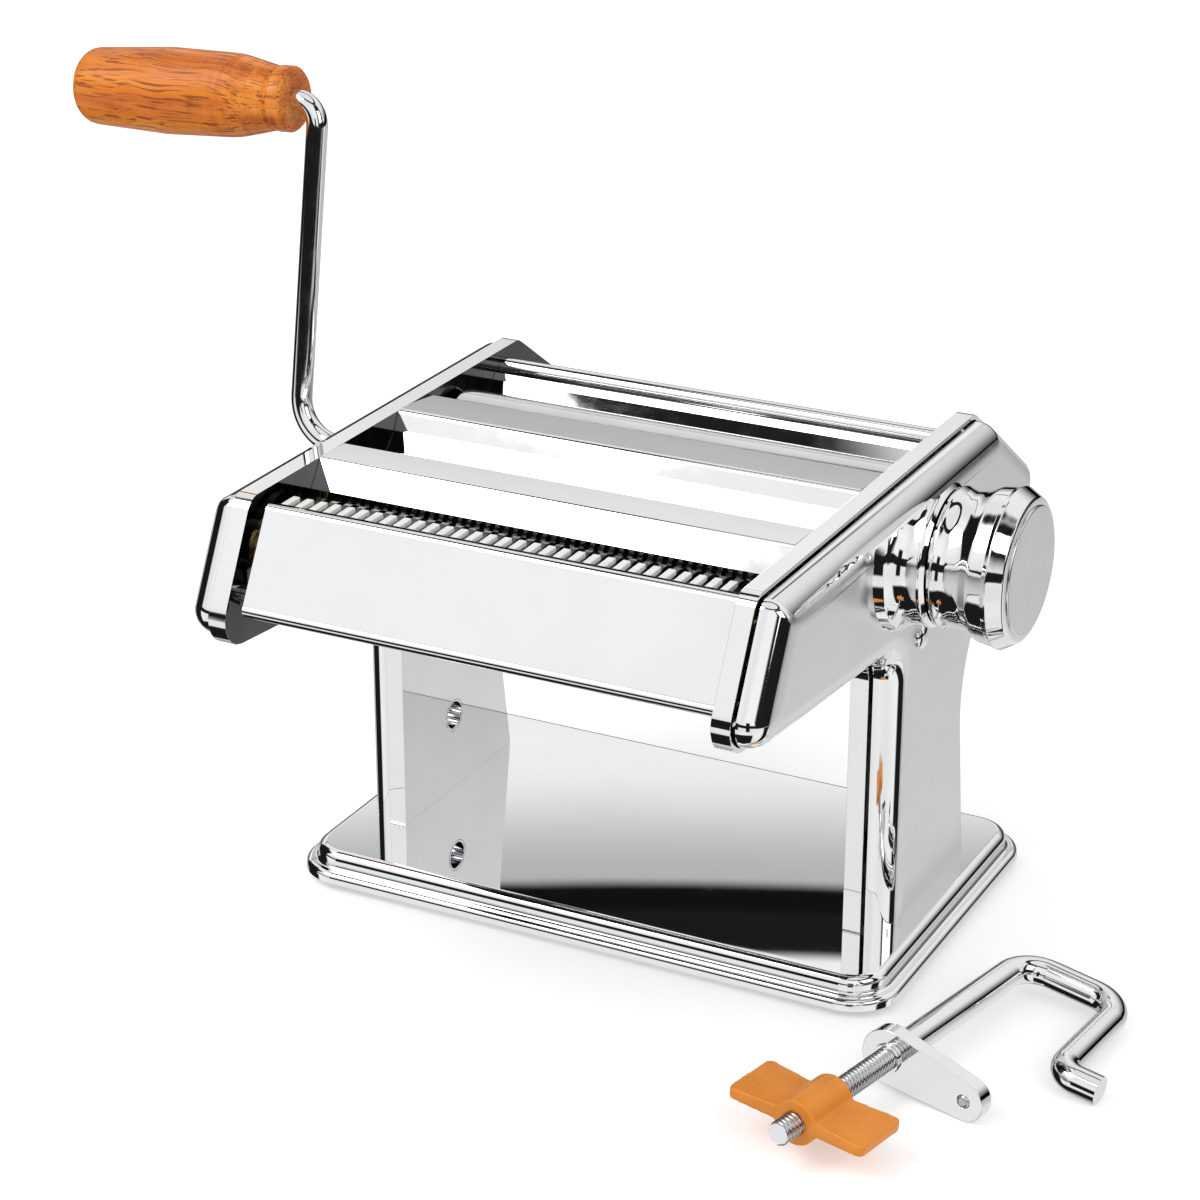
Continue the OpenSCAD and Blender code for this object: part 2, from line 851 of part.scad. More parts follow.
module tie_rods() {
    color(chrome)
        difference() {
            for (rod = rods)
                bar_x(rod[0], rod[1], -frame_x, frame_x);
            for (rod = rods, x = [-frame_x - 1, frame_x - tie_screw_l - 0.5])
                bar_x(rod[0], tie_screw_r + seat, x, x + tie_screw_l + 1.5);
        }
}

module tie_screws() {
    head_r = tie_screw_r + 1.6;
    head_h = 2;
    color(steel)
        both_sides()
            for (rod = rods)
                turned(rod[0], [
                    [frame_x - tie_screw_l, 0], [frame_x - tie_screw_l, tie_screw_r], [plate_x, tie_screw_r],
                    [plate_x, head_r], [plate_x + head_h * 0.6, head_r], [plate_x + head_h, head_r * 0.6],
                    [plate_x + head_h, 0]
                ]);
}

module foot_screws() {
    under = base_h - base_t;
    tip = base_h + frame_t + foot_nut_h + 1;
    color(steel)
        foot_screw_places()
            rotate_extrude()
                polygon([[0, under - foot_head_h], [foot_head_r - 0.8, under - foot_head_h],
                         [foot_head_r, under - foot_head_h + 0.8], [foot_head_r, under], [foot_screw_r, under],
                         [foot_screw_r, tip], [0, tip]]);
}

module foot_nuts() {
    color(steel)
        foot_screw_places()
            translate([0, 0, base_h + frame_t])
                difference() {
                    cylinder(r = foot_screw_r * 1.95, h = foot_nut_h, $fn = 6);
                    translate([0, 0, -1])
                        cylinder(r = foot_screw_r + seat, h = foot_nut_h + 2);
                }
}

// Bushes, rollers and gears

// A flanged bush through the right-hand frame for a journal of radius r
module bush(at, r) {
    hole = r + run;
    sleeve = hole + bush_wall;
    turned(at, [
        [frame_x - bush_flange_t, hole], [frame_x - bush_flange_t, sleeve + bush_flange],
        [frame_x, sleeve + bush_flange], [frame_x, sleeve], [bush_end_x, sleeve], [bush_end_x, hole]
    ]);
}

module roller_bushes() {
    color(brass)
        both_sides()
            bush([rear_y, axle_z], journal_r);
}

module cutter_bushes() {
    color(brass)
        both_sides()
            for (y = cutter_axles)
                bush([y, axle_z], cutter_journal_r);
}

// A gear with straight-sided teeth, its first tooth at the angle given
module gear(at, x0, teeth, root, tip, bore, first) {
    at_root = 0.27 * 360 / teeth;
    at_tip = 0.1 * 360 / teeth;
    bar_hole = bore + seat;
    translate([x0, at[0], at[1]])
        rotate([90, 0, 90])
            linear_extrude(gear_w)
                difference() {
                    polygon([
                        for (i = [0 : teeth - 1])
                            for (e = [[-at_root, root], [-at_tip, tip], [at_tip, tip], [at_root, root]])
                                let (a = first + i * 360 / teeth + e[0])
                                e[1] * [cos(a), sin(a)]
                    ]);
                    circle(bar_hole);
                }
}

// Root and tip radii keep the smooth rollers' gears in mesh from the widest gap to the narrowest
roller_gear_tip = roller_r + gap_max / 2 + 0.3;
roller_gear_root = 2 * roller_r + gap_min - roller_gear_tip - pass;
cutter_gear_tip = cutter_c / 2 + 1.1;
cutter_gear_root = cutter_c - cutter_gear_tip - pass;

// A smooth roller with a journal at each end
module smooth_roller(y, left_x, right_x, socket) {
    color(chrome)
        difference() {
            turned([y, axle_z], [
                [left_x, 0], [left_x, journal_r], [-roller_x, journal_r], [-roller_x, roller_r - 0.8],
                [-roller_x + 0.8, roller_r], [roller_x - 0.8, roller_r], [roller_x, roller_r - 0.8],
                [roller_x, journal_r], [right_x, journal_r], [right_x, 0]
            ]);
            if (socket)
                hex_x([y, axle_z], hex_af + 2 * run, left_x - 1, left_x + socket_l);
        }
}

journal_end_x = cover_in_x - 1;

module rear_roller() {
    smooth_roller(rear_y, -gear_x - gear_w - 0.5, bush_end_x + 1, false);
}

module rear_roller_gear() {
    color(dark_steel)
        gear([rear_y, axle_z], -gear_x - gear_w, roller_teeth, roller_gear_root, roller_gear_tip,
            journal_r, 180);
}

module front_roller() {
    smooth_roller(front_y, -journal_end_x, gear_x, true);
}

module front_roller_gear() {
    color(dark_steel)
        gear([front_y, axle_z], -gear_x - gear_w, roller_teeth, roller_gear_root, roller_gear_tip,
            journal_r, 180 / roller_teeth);
}

// Blocks that carry the front roller and slide in the frames' slots. The right one
// reaches forward outside its frame, with an upright window for the knob shaft's eccentric.
cam_r = 3.5;
cam_play = 0.25 * throw + pass / 2;
cam_x = gear_x + 0.6;
cam_l = cover_in_x - cam_x - 2.2;
yoke_wall = 2;

module bearing_blocks() {
    inner_x = frame_x - bush_flange_t;
    yoke_end_x = cam_x + cam_l - pass;
    y0 = front_y - block_h / 2;
    z0 = axle_z - block_h / 2;
    window_y = knob_y - throw - cam_r - cam_play;
    window_w = 2 * (cam_r + cam_play);
    window_h = 2 * (cam_r + throw + pass);
    color(brass)
        difference() {
            union() {
                translate([inner_x, y0, z0])
                    cube([yoke_end_x - inner_x, block_h, block_h]);
                translate([cam_x, window_y - yoke_wall, knob_z - window_h / 2 - yoke_wall])
                    cube([yoke_end_x - cam_x, front_y - window_y, window_h + 2 * yoke_wall]);
                translate([-bush_end_x, y0, z0])
                    cube([bush_end_x - inner_x, block_h, block_h]);
            }
            bar_x([front_y, axle_z], journal_r + run, -cover_x, cover_x);
            translate([cam_x - 1, window_y, knob_z - window_h / 2])
                cube([cam_l + 2, window_w, window_h]);
        }
}

// A roller with cutting rings, its rings counted from the middle of the roller
module cutter_roller(y, pitch, count, left_x, right_x, socket) {
    width = pitch / 2 - ring_gap;
    middle = (count - 1) / 2;
    rings = [
        for (i = [0 : count - 1])
            let (x = (i - middle) * pitch)
            each [[x - width / 2, groove_r], [x - width / 2, ring_r], [x + width / 2, ring_r],
                  [x + width / 2, groove_r]]
    ];
    color(steel)
        difference() {
            turned([y, axle_z], concat(
                [[left_x, 0], [left_x, cutter_journal_r], [-roller_x, cutter_journal_r], [-roller_x, groove_r]],
                rings,
                [[roller_x, groove_r], [roller_x, cutter_journal_r], [right_x, cutter_journal_r], [right_x, 0]]
            ));
            if (socket)
                hex_x([y, axle_z], hex_af + 2 * run, left_x - 1, left_x + socket_l);
        }
}

// How many rings of a pitch fit on a roller; the idle roller has one fewer, between them
function ring_count(pitch) = floor((roller_l - pitch / 2) / pitch);

module drive_cutter(y, pitch) {
    cutter_roller(y, pitch, ring_count(pitch), -journal_end_x, gear_x + gear_w + 0.5, true);
}

module idle_cutter(y, pitch) {
    cutter_roller(y, pitch, ring_count(pitch) - 1, -bush_end_x - 0.5, gear_x + gear_w + 0.5, false);
}

module cutter_gear(y, first) {
    color(dark_steel)
        gear([y, axle_z], gear_x, cutter_teeth, cutter_gear_root, cutter_gear_tip, cutter_journal_r, first);
}

module wide_drive_cutter() {
    drive_cutter(wide_y + cutter_c, wide_pitch);
}

module wide_drive_gear() {
    cutter_gear(wide_y + cutter_c, 180);
}

module wide_idle_cutter() {
    idle_cutter(wide_y, wide_pitch);
}

module wide_idle_gear() {
    cutter_gear(wide_y, 180 / cutter_teeth);
}

module narrow_drive_cutter() {
    drive_cutter(narrow_y + cutter_c, narrow_pitch);
}

module narrow_drive_gear() {
    cutter_gear(narrow_y + cutter_c, 180);
}

module narrow_idle_cutter() {
    idle_cutter(narrow_y, narrow_pitch);
}

module narrow_idle_gear() {
    cutter_gear(narrow_y, 180 / cutter_teeth);
}

// A comb under one cutter roller, its teeth in the roller's grooves.
// out is the side away from the other roller, count the number of teeth.
module stripper(y, out, pitch, count) {
    tooth_w = pitch / 2 - 2 * pass;
    tip_r = groove_r + pass;
    bar_z = axle_z - ring_r - 4;
    along_x(-frame_x, frame_x)
        polygon([[y + out * 2, bar_z], [y + out * 7, bar_z], [y + out * 7, bar_z + 1.5], [y + out * 2, bar_z + 1.5]]);
    for (i = [0 : count - 1])
        let (x = (i - (count - 1) / 2) * pitch)
        along_x(x - tooth_w / 2, x + tooth_w / 2)
            polygon([[y + out * 2.4, bar_z + 1], [y + out * 5.4, bar_z + 1],
                     [y + out * 3.4, axle_z - tip_r], [y + out * 2.4, axle_z - tip_r]]);
}

module strippers(y, pitch) {
    rings = ring_count(pitch);
    color(steel) {
        stripper(y, -1, pitch, rings);
        stripper(y + cutter_c, 1, pitch, rings - 1);
    }
}

module wide_strippers() {
    strippers(wide_y, wide_pitch);
}

module narrow_strippers() {
    strippers(narrow_y, narrow_pitch);
}

// Knob

module knob_bush() {
    hole = shaft_r + run;
    color(brass)
        difference() {
            bar_x(knob_at, hole + bush_wall, cover_x + 1, collar_x);
            bar_x(knob_at, hole, cover_x, collar_x + 1);
        }
}

// The pin's tip runs in a shallow ring groove behind the knob
pin_out = 1.8;

module index_pin() {
    color(steel)
        turned(pin_place, [
            [collar_x - 3, 0], [collar_x - 3, pin_r], [collar_x + pin_out - 0.6, pin_r],
            [collar_x + pin_out, pin_r - 0.6], [collar_x + pin_out, 0]
        ]);
}

// Shaft with an eccentric in the bearing block and a hexagonal end in the knob
knob_hex_af = 1.6 * shaft_r;
spring_seat_x = knob_x + 5;
// The knob pulls out until the spring's turns meet
retainer_x = spring_seat_x + 2 * wire_r * (spring_turns + 1) + knob_pull + pass;

module knob_shaft() {
    color(steel) {
        bar_x([knob_y - throw, knob_z], cam_r, cam_x, cam_x + cam_l);
        bar_x(knob_at, shoulder_r, cam_x + cam_l, cover_x + 1 - pass);
        bar_x(knob_at, shaft_r, cover_x + 1 - pass, knob_x + 1);
        hex_x(knob_at, knob_hex_af, knob_x + 1, retainer_x);
    }
}

module knob_retainer() {
    color(steel) {
        bar_x(knob_at, shaft_r + 2.6, retainer_x, retainer_x + 1.2);
        bar_x(knob_at, shaft_r - 1, retainer_x + 1.2, retainer_x + 3);
    }
}

knob_cavity_r = shaft_r + 3.4;
// Half the width of the index pin's ring groove
groove_half = pin_r + 2 * pass;
// The knob's outline, as [x, radius] from its back to its face
knob_line = [
    [knob_x, knob_waist_r + 0.6, 0],
    [knob_x + 1.2, knob_waist_r + 1.4, 1],
    [knob_x + 4, knob_waist_r, 6],
    [knob_x + 9, knob_waist_r + 1, 8],
    [knob_x + 12.5, knob_head_r - 0.6, 4],
    [knob_x + 17, knob_head_r, 1],
    [knob_x + 18.4, knob_head_r + 0.6, 0.6],
    [knob_end_x - 1.4, knob_face_r + 1.2, 1],
    [knob_end_x - 0.6, knob_face_r, 0]
];

module knob() {
    color(chrome)
        difference() {
            turned(knob_at, concat([[knob_x, 0]], rounded(knob_line, false), [[knob_end_x - 0.6, 0]]));
            hex_x(knob_at, knob_hex_af + 2 * run, knob_x - 1, knob_x + 8);
            bar_x(knob_at, shaft_r + pass, knob_x - 1, knob_x + 1 + pass);
            bar_x(knob_at, knob_cavity_r, spring_seat_x, knob_end_x);
            // Seat of the face disc
            bar_x(knob_at, knob_face_r - 1 + seat, knob_end_x - cap_t, knob_end_x + 1);
            // Ring groove with a dimple for each setting
            turned(knob_at, [
                [knob_x - 1, pin_at - groove_half], [knob_x - 1, pin_at + groove_half],
                [knob_x + pin_out - knob_gap + pass, pin_at + groove_half],
                [knob_x + pin_out - knob_gap + pass, pin_at - groove_half]
            ]);
            for (i = [0 : settings - 1])
                let (a = 180 - i * 180 / (settings - 1))
                bar_x([knob_y + pin_at * cos(a), knob_z + pin_at * sin(a)], pin_r + pass, knob_x, knob_x + 3);
        }
}

module knob_cap() {
    color(white)
        bar_x(knob_at, knob_face_r - 1, knob_end_x - cap_t, knob_end_x);
}

// A coil of wire, as one tube swept along a helix
spring_r = shaft_r + 1.6;
spring_l = retainer_x - spring_seat_x - 2 * wire_r - 0.1;

function spring_ring(a, x) = [
    for (k = [0 : 5])
        let (r = spring_r + wire_r * cos(60 * k))
        [x + wire_r * sin(60 * k), knob_y + r * cos(a), knob_z + r * sin(a)]
];

module knob_spring() {
    rings_a_turn = 12;
    start = spring_seat_x + wire_r + 0.05;
    count = spring_turns * rings_a_turn;
    echo(spring_gap = spring_l / spring_turns - 2 * wire_r);
    color(steel)
        skin([for (i = [0 : count]) spring_ring(i * 360 / rings_a_turn, start + spring_l * i / count)]);
}

// Bent rods

// Moves on by a straight length, a bend in degrees (left is positive) and its radius
module after(moves, i = 0) {
    if (i == len(moves)) {
        children();
    } else {
        run_l = moves[i][0];
        bend = moves[i][1];
        r = moves[i][2];
        translate([run_l + r * sin(abs(bend)), sign(bend) * r * (1 - cos(bend)), 0])
            rotate(bend)
                after(moves, i + 1)
                    children();
    }
}

// A rod along such moves. Its bends are a hair thinner and start inside the straights.
module bent_rod(r, moves) {
    lap = 0.3;
    hair = 0.02;
    for (i = [0 : len(moves) - 1])
        after([for (k = [0 : 1 : i - 1]) moves[k]]) {
            run_l = moves[i][0];
            bend = moves[i][1];
            bend_r = moves[i][2];
            start = i == 0 ? 0 : -lap;
            end = bend == 0 ? run_l : run_l + lap;
            translate([start, 0, 0])
                rotate([0, 90, 0])
                    cylinder(r = r, h = end - start);
            if (bend != 0)
                translate([run_l, sign(bend) * bend_r, 0])
                    rotate(bend > 0 ? -90 : 90 + bend)
                        rotate_extrude(angle = abs(bend))
                            translate([bend_r, 0])
                                circle(r - hair);
        }
}

// Crank

crank_start_x = journal_end_x - socket_l + 1;
crank_moves = [
    [cover_x + crank_out - crank_low_bend - journal_end_x - pass, 90, crank_low_bend],
    [crank_arm - crank_low_bend - crank_top_bend, -90 - grip_droop, crank_top_bend]
];
grip_start = 0.3;

// The crank's own plane: x runs out to the left, y along the arm
module crank_plane() {
    translate([-journal_end_x - pass, front_y, axle_z])
        mirror([1, 0, 0])
            rotate([90 - crank_lean, 0, 0])
                children();
}

module crank_rod() {
    color(chrome) {
        hex_x([front_y, axle_z], hex_af, -journal_end_x - pass - 0.5, -crank_start_x);
        crank_plane()
            bent_rod(crank_r, concat(crank_moves, [[grip_start + grip_hole_l - 1, 0, 0]]));
    }
}

// The grip's outline, as [length, radius] from its neck to its domed end
grip_line = [
    [0, grip_neck_r - 0.8, 0],
    [0.9, grip_neck_r, 0.6],
    [4.6, grip_neck_r, 1],
    [5.4, grip_neck_r - 0.7, 0.4],
    [6.4, grip_neck_r - 0.2, 0.4],
    [20, grip_r - 0.6, 30],
    [46, grip_r, 60],
    [grip_l - 6, grip_r - 1.4, 20],
    [grip_l, grip_r - 1.9, 5],
    [grip_l, 0, 0]
];

module crank_grip() {
    color(wood)
        crank_plane()
            after(crank_moves)
                translate([grip_start, 0, 0])
                    rotate([0, 90, 0])
                        rotate_extrude()
                            difference() {
                                polygon([for (p = concat([[0, 0]], rounded(grip_line, false))) [p[1], p[0]]]);
                                square([crank_r + run, grip_hole_l]);
                            }
}

// Clamp

clamp_moves = [
    [clamp_leg, -88, clamp_bend],
    [clamp_cross, -86.5, clamp_bend],
    [clamp_return, 88, peg_bend],
    [clamp_peg, 0, 0]
];

// Where a row of moves ends in its own plane
function end_of(moves, i = 0) =
    i == len(moves) ? [0, 0] :
    let (
        bend = moves[i][1],
        r = moves[i][2],
        rest = end_of(moves, i + 1)
    )
    [moves[i][0] + r * sin(abs(bend)) + rest[0] * cos(bend) - rest[1] * sin(bend),
     sign(bend) * r * (1 - cos(bend)) + rest[0] * sin(bend) + rest[1] * cos(bend)];

// The hook rolls about its rod until the peg's end lies on the table
peg_end = end_of(clamp_moves);
hook_roll = asin((clamp_z - peg_end[0] * sin(clamp_fall) - clamp_r - 0.1) / -peg_end[1] / cos(clamp_fall));

// The clamp's own frame: x along the rod from its threaded end, y to its left, z up
module clamp_frame() {
    translate([clamp_at[0], clamp_at[1], clamp_z])
        rotate([0, clamp_fall, clamp_heading])
            children();
}

module clamp_rod() {
    color(chrome)
        clamp_frame()
            difference() {
                rotate([hook_roll, 0, 0])
                    bent_rod(clamp_r, clamp_moves);
                // The stem is turned down to the thread's size
                translate([-1, 0, 0])
                    rotate([0, 90, 0])
                        difference() {
                            cylinder(r = 2 * clamp_r, h = stem_l + 1);
                            cylinder(r = stem_r, h = stem_l + 2);
                        }
            }
}

// Angle by which the arm's narrow end drops to the table
arm_rod_z = clamp_z - arm_at * sin(clamp_fall);
arm_drop = asin((arm_rod_z - arm_small_r - 0.2) / arm_l);

// The arm's own frame: x along the rod, y towards the narrow end
module arm_frame() {
    clamp_frame()
        translate([arm_at, 0, 0])
            rotate([arm_drop, 0, 0])
                mirror([0, 1, 0])
                    children();
}

module clamp_arm() {
    color(chrome)
        arm_frame()
            difference() {
                rotate([90, 0, 90])
                    linear_extrude(arm_t)
                        hull() {
                            circle(arm_big_r);
                            translate([arm_l, 0])
                                circle(arm_small_r);
                        }
                translate([-1, 0, 0])
                    rotate([0, 90, 0])
                        cylinder(r = clamp_r + run, h = arm_t + 2);
                translate([-1, arm_l, 0])
                    rotate([0, 90, 0])
                        cylinder(r = 2 + seat, h = arm_t + 2);
            }
}

// Riveted pad that presses under the table's edge
module clamp_pad() {
    color(steel)
        arm_frame()
            translate([0, arm_l, 0])
                rotate([0, 90, 0])
                    rotate_extrude()
                        polygon([[0, -0.6], [1.4, -0.6], [2, 0], [2, arm_t], [4.2, arm_t], [4.2, arm_t + 1],
                                 [3.4, arm_t + 1.8], [0, arm_t + 1.8]]);
}

// Hub and two flared wings, in one moulding
module wing_nut() {
    tip = wing_span / 2;
    color(orange)
        clamp_frame()
            translate([nut_at, 0, 0])
                rotate([nut_roll, 0, 0])
                    difference() {
                        union() {
                            rotate([0, 90, 0])
                                cylinder(r = nut_r, h = nut_l);
                            for (side = [-1, 1])
                                hull() {
                                    translate([1, side * (nut_r - 3), -wing_t / 2])
                                        cube([nut_l - 2, 2, wing_t]);
                                    for (x = [1.5, nut_l - 1.5])
                                        translate([x, side * (tip - 2), -wing_t / 2 + 1])
                                            cylinder(r = 2, h = wing_t - 1, $fn = 32);
                                }
                        }
                        translate([-1, 0, 0])
                            rotate([0, 90, 0])
                                cylinder(r = stem_r + run, h = nut_l + 2);
                    }
}

base_plate();
rubber_feet();
left_frame();
right_frame();
left_cover();
right_cover();
front_panel();
front_comb();
mid_guard();
roller_guard();
feed_guide();
chute_plate();
front_scraper();
rear_scraper();
tie_rods();
tie_screws();
foot_screws();
foot_nuts();
roller_bushes();
cutter_bushes();
cover_studs();
clamp_socket();
knob_bush();
index_pin();
wide_strippers();
narrow_strippers();
rear_roller();
rear_roller_gear();
crank_rod();
crank_grip();
bearing_blocks();
front_roller();
front_roller_gear();
knob_shaft();
knob();
knob_cap();
knob_spring();
knob_retainer();
wide_drive_cutter();
wide_drive_gear();
wide_idle_cutter();
wide_idle_gear();
narrow_drive_cutter();
narrow_drive_gear();
narrow_idle_cutter();
narrow_idle_gear();
clamp_rod();
clamp_arm();
clamp_pad();
wing_nut();
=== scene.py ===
import json
import math
from contextlib import contextmanager

import bmesh
import bpy
from mathutils import Matrix, Vector

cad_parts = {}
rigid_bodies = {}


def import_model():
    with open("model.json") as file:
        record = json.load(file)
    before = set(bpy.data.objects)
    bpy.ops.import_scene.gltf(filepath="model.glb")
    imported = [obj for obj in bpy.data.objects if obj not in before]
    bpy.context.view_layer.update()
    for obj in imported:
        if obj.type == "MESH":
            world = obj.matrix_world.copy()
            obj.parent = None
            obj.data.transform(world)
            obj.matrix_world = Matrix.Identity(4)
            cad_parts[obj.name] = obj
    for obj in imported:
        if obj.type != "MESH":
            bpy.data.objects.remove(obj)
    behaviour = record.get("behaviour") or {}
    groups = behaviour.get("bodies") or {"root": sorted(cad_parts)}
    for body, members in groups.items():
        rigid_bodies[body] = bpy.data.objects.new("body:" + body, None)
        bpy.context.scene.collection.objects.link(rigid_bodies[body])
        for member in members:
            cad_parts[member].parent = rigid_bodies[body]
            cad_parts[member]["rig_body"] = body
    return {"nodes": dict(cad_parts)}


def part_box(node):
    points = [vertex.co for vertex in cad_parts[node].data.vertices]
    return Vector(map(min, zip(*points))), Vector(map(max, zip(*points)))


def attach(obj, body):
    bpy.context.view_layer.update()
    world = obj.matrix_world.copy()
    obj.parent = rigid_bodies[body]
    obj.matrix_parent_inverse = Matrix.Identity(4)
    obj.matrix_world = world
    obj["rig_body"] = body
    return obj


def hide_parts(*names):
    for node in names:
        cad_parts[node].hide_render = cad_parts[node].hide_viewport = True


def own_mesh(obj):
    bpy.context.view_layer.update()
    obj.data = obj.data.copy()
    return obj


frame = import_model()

MM = 0.001
scene = bpy.context.scene
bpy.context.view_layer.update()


def mm(*values):
    """Millimetres as metres."""
    return tuple(value * MM for value in values)


# Node helpers

# Most of a noise lies in this range
NOISE_LOW, NOISE_HIGH = 0.3, 0.7
# Two inputs and the output of a mix node, for each kind of value
MIX_SOCKETS = {"FLOAT": (2, 3, 0), "RGBA": (6, 7, 2)}


class Wiring:
    """Adds nodes to a tree and joins them up."""

    def __init__(self, tree):
        self.tree = tree
        tree.nodes.clear()

    def add(self, kind, settings=None, **inputs):
        node = self.tree.nodes.new(kind)
        for name, value in (settings or {}).items():
            setattr(node, name, value)
        self.feed(node, inputs)
        return node

    def feed(self, node, inputs):
        """Gives a node's inputs values by name, with _ for a space."""
        for name, value in inputs.items():
            self.put(node.inputs[name.replace("_", " ")], value)

    def put(self, socket, value):
        if isinstance(value, bpy.types.NodeSocket):
            self.tree.links.new(value, socket)
        else:
            socket.default_value = value

    def fill(self, node, *values):
        """Gives a node's first inputs these values."""
        for socket, value in zip(node.inputs, values):
            self.put(socket, value)
        return node.outputs[0]

    def math(self, operation, *values):
        return self.fill(self.add("ShaderNodeMath", {"operation": operation}), *values)

    def span(self, value, low, high, to_low=0.0, to_high=1.0, kind="SMOOTHSTEP"):
        node = self.add("ShaderNodeMapRange", {"interpolation_type": kind})
        return self.fill(node, value, low, high, to_low, to_high)

    def spread(self, noise, to_low, to_high, kind="SMOOTHSTEP"):
        """A noise's usual range, brought to another one."""
        return self.span(noise, NOISE_LOW, NOISE_HIGH, to_low, to_high, kind)

    def band(self, value, low, high, soft):
        """1 between low and high, with soft ends."""
        up = self.span(value, low, low + soft)
        down = self.span(value, high - soft, high, 1.0, 0.0)
        return self.math("MULTIPLY", up, down)

    def mix(self, share, first, second, kind="FLOAT"):
        """The first value where share is 0 and the second where it is 1."""
        node = self.add("ShaderNodeMix", {"data_type": kind})
        at_first, at_second, at_out = MIX_SOCKETS[kind]
        self.put(node.inputs[0], share)
        self.put(node.inputs[at_first], first)
        self.put(node.inputs[at_second], second)
        return node.outputs[at_out]

    def noise(self, place, scale, detail=3.0, rough=0.5):
        node = self.add(
            "ShaderNodeTexNoise", Vector=place, Scale=scale, Detail=detail, Roughness=rough,
        )
        return node.outputs["Fac"]

    def stretched(self, place, scale):
        return self.add("ShaderNodeMapping", Vector=place, Scale=scale).outputs[0]

    def ramp(self, fac, stops):
        node = self.add("ShaderNodeValToRGB", Fac=fac)
        ramp = node.color_ramp
        while len(ramp.elements) < len(stops):
            ramp.elements.new(0.5)
        for element, (at, colour) in zip(ramp.elements, stops):
            element.position = at
            element.color = (*colour, 1.0)
        return node.outputs["Color"]

    def bump(self, height, strength, distance):
        node = self.add("ShaderNodeBump", Strength=strength, Distance=distance, Height=height)
        return node.outputs["Normal"]


class Finish(Wiring):
    """A procedural material on one Principled shader, read in Object coordinates."""

    def __init__(self, name):
        self.material = bpy.data.materials.new(name)
        self.material.use_nodes = True
        super().__init__(self.material.node_tree)
        self.shader = self.add("ShaderNodeBsdfPrincipled")
        self.put(self.add("ShaderNodeOutputMaterial").inputs[0], self.shader.outputs[0])
        self.place = self.add("ShaderNodeTexCoord").outputs["Object"]

    def set(self, **inputs):
        self.feed(self.shader, inputs)


# Finishes

def metal(name, light, dark, rough_low, rough_high, wave=0.0, drag=None, drag_depth=0.0):
    """A polished or worked metal: clouded colour, uneven polish, slight waves and drag marks."""
    f = Finish(name)
    cloud = f.noise(f.place, 38.0, 4.0)
    polish = f.noise(f.place, 160.0, 5.0, 0.6)
    f.set(
        Base_Color=f.ramp(cloud, [(NOISE_LOW, dark), (NOISE_HIGH, light)]),
        Metallic=1.0,
        Roughness=f.spread(polish, rough_low, rough_high, "LINEAR"),
    )
    if drag:
        waves = f.math("MULTIPLY", f.noise(f.place, 24.0, 1.0), wave)
        lines = f.noise(f.stretched(f.place, drag), 60.0, 2.0)
        marks = f.math("MULTIPLY", lines, drag_depth)
        f.set(Normal=f.bump(f.math("ADD", waves, marks), 0.35, 0.4 * MM))
    elif wave:
        f.set(Normal=f.bump(f.noise(f.place, 24.0, 1.0), 0.3, wave * MM))
    return f.material


def moulding(name, dark, light, cloud_scale, skin_scale, skin_detail, rough, relief,
             dark_at=NOISE_LOW):
    """Plastic or rubber: clouded colour and a fine skin."""
    f = Finish(name)
    cloud = f.noise(f.place, cloud_scale)
    skin = f.noise(f.place, skin_scale, skin_detail)
    f.set(
        Base_Color=f.ramp(cloud, [(dark_at, dark), (NOISE_HIGH, light)]),
        Roughness=f.spread(skin, *rough),
        Normal=f.bump(skin, relief, 0.1 * MM),
    )
    return f.material


# Where the curly figure of the grip's wood comes in, along x
CURL_FROM, CURL_FULL = mm(-170.0, -140.0)
PORE_COLOUR = (0.24, 0.045, 0.006, 1.0)
WOOD_STOPS = [
    (0.30, (0.44, 0.085, 0.006)), (0.43, (0.66, 0.165, 0.012)),
    (0.55, (0.78, 0.225, 0.020)), (0.70, (0.86, 0.30, 0.036)),
]


def wood_finish():
    """Varnished wood with grain along the grip, dark pores and a curly figure by its neck."""
    f = Finish("grip_wood")
    bend = f.noise(f.place, 22.0, 2.0)
    sideways = f.add("ShaderNodeCombineXYZ", Y=bend, Z=bend).outputs[0]
    warp = f.add("ShaderNodeVectorMath", {"operation": "MULTIPLY_ADD"})
    along = f.fill(warp, sideways, mm(0.0, 12.0, 12.0), f.place)
    rings = f.noise(f.stretched(along, (7.0, 130.0, 130.0)), 1.0, 4.0, 0.6)
    pores = f.noise(f.stretched(along, (42.0, 1250.0, 1250.0)), 1.0, 2.0, 0.55)
    curl = f.noise(f.stretched(f.place, (520.0, 90.0, 90.0)), 1.0, 3.0, 0.55)
    axis = f.add("ShaderNodeSeparateXYZ", Vector=f.place).outputs["X"]
    near_neck = f.math("MULTIPLY", f.span(axis, CURL_FROM, CURL_FULL), 0.5)
    figure = f.math("MULTIPLY", f.math("SUBTRACT", curl, 0.5), near_neck)
    base = f.ramp(f.math("ADD", rings, figure), WOOD_STOPS)
    dark = f.math("MULTIPLY", f.span(pores, 0.53, 0.64), 0.78)
    relief = f.math("SUBTRACT", f.math("MULTIPLY", rings, 0.4), dark)
    f.set(
        Base_Color=f.mix(dark, base, PORE_COLOUR, "RGBA"),
        Roughness=f.spread(rings, 0.42, 0.3, "LINEAR"),
        Normal=f.bump(relief, 0.35, 0.25 * MM),
        Specular_IOR_Level=0.3,
        Coat_Weight=0.12,
        Coat_Roughness=0.2,
    )
    return f.material


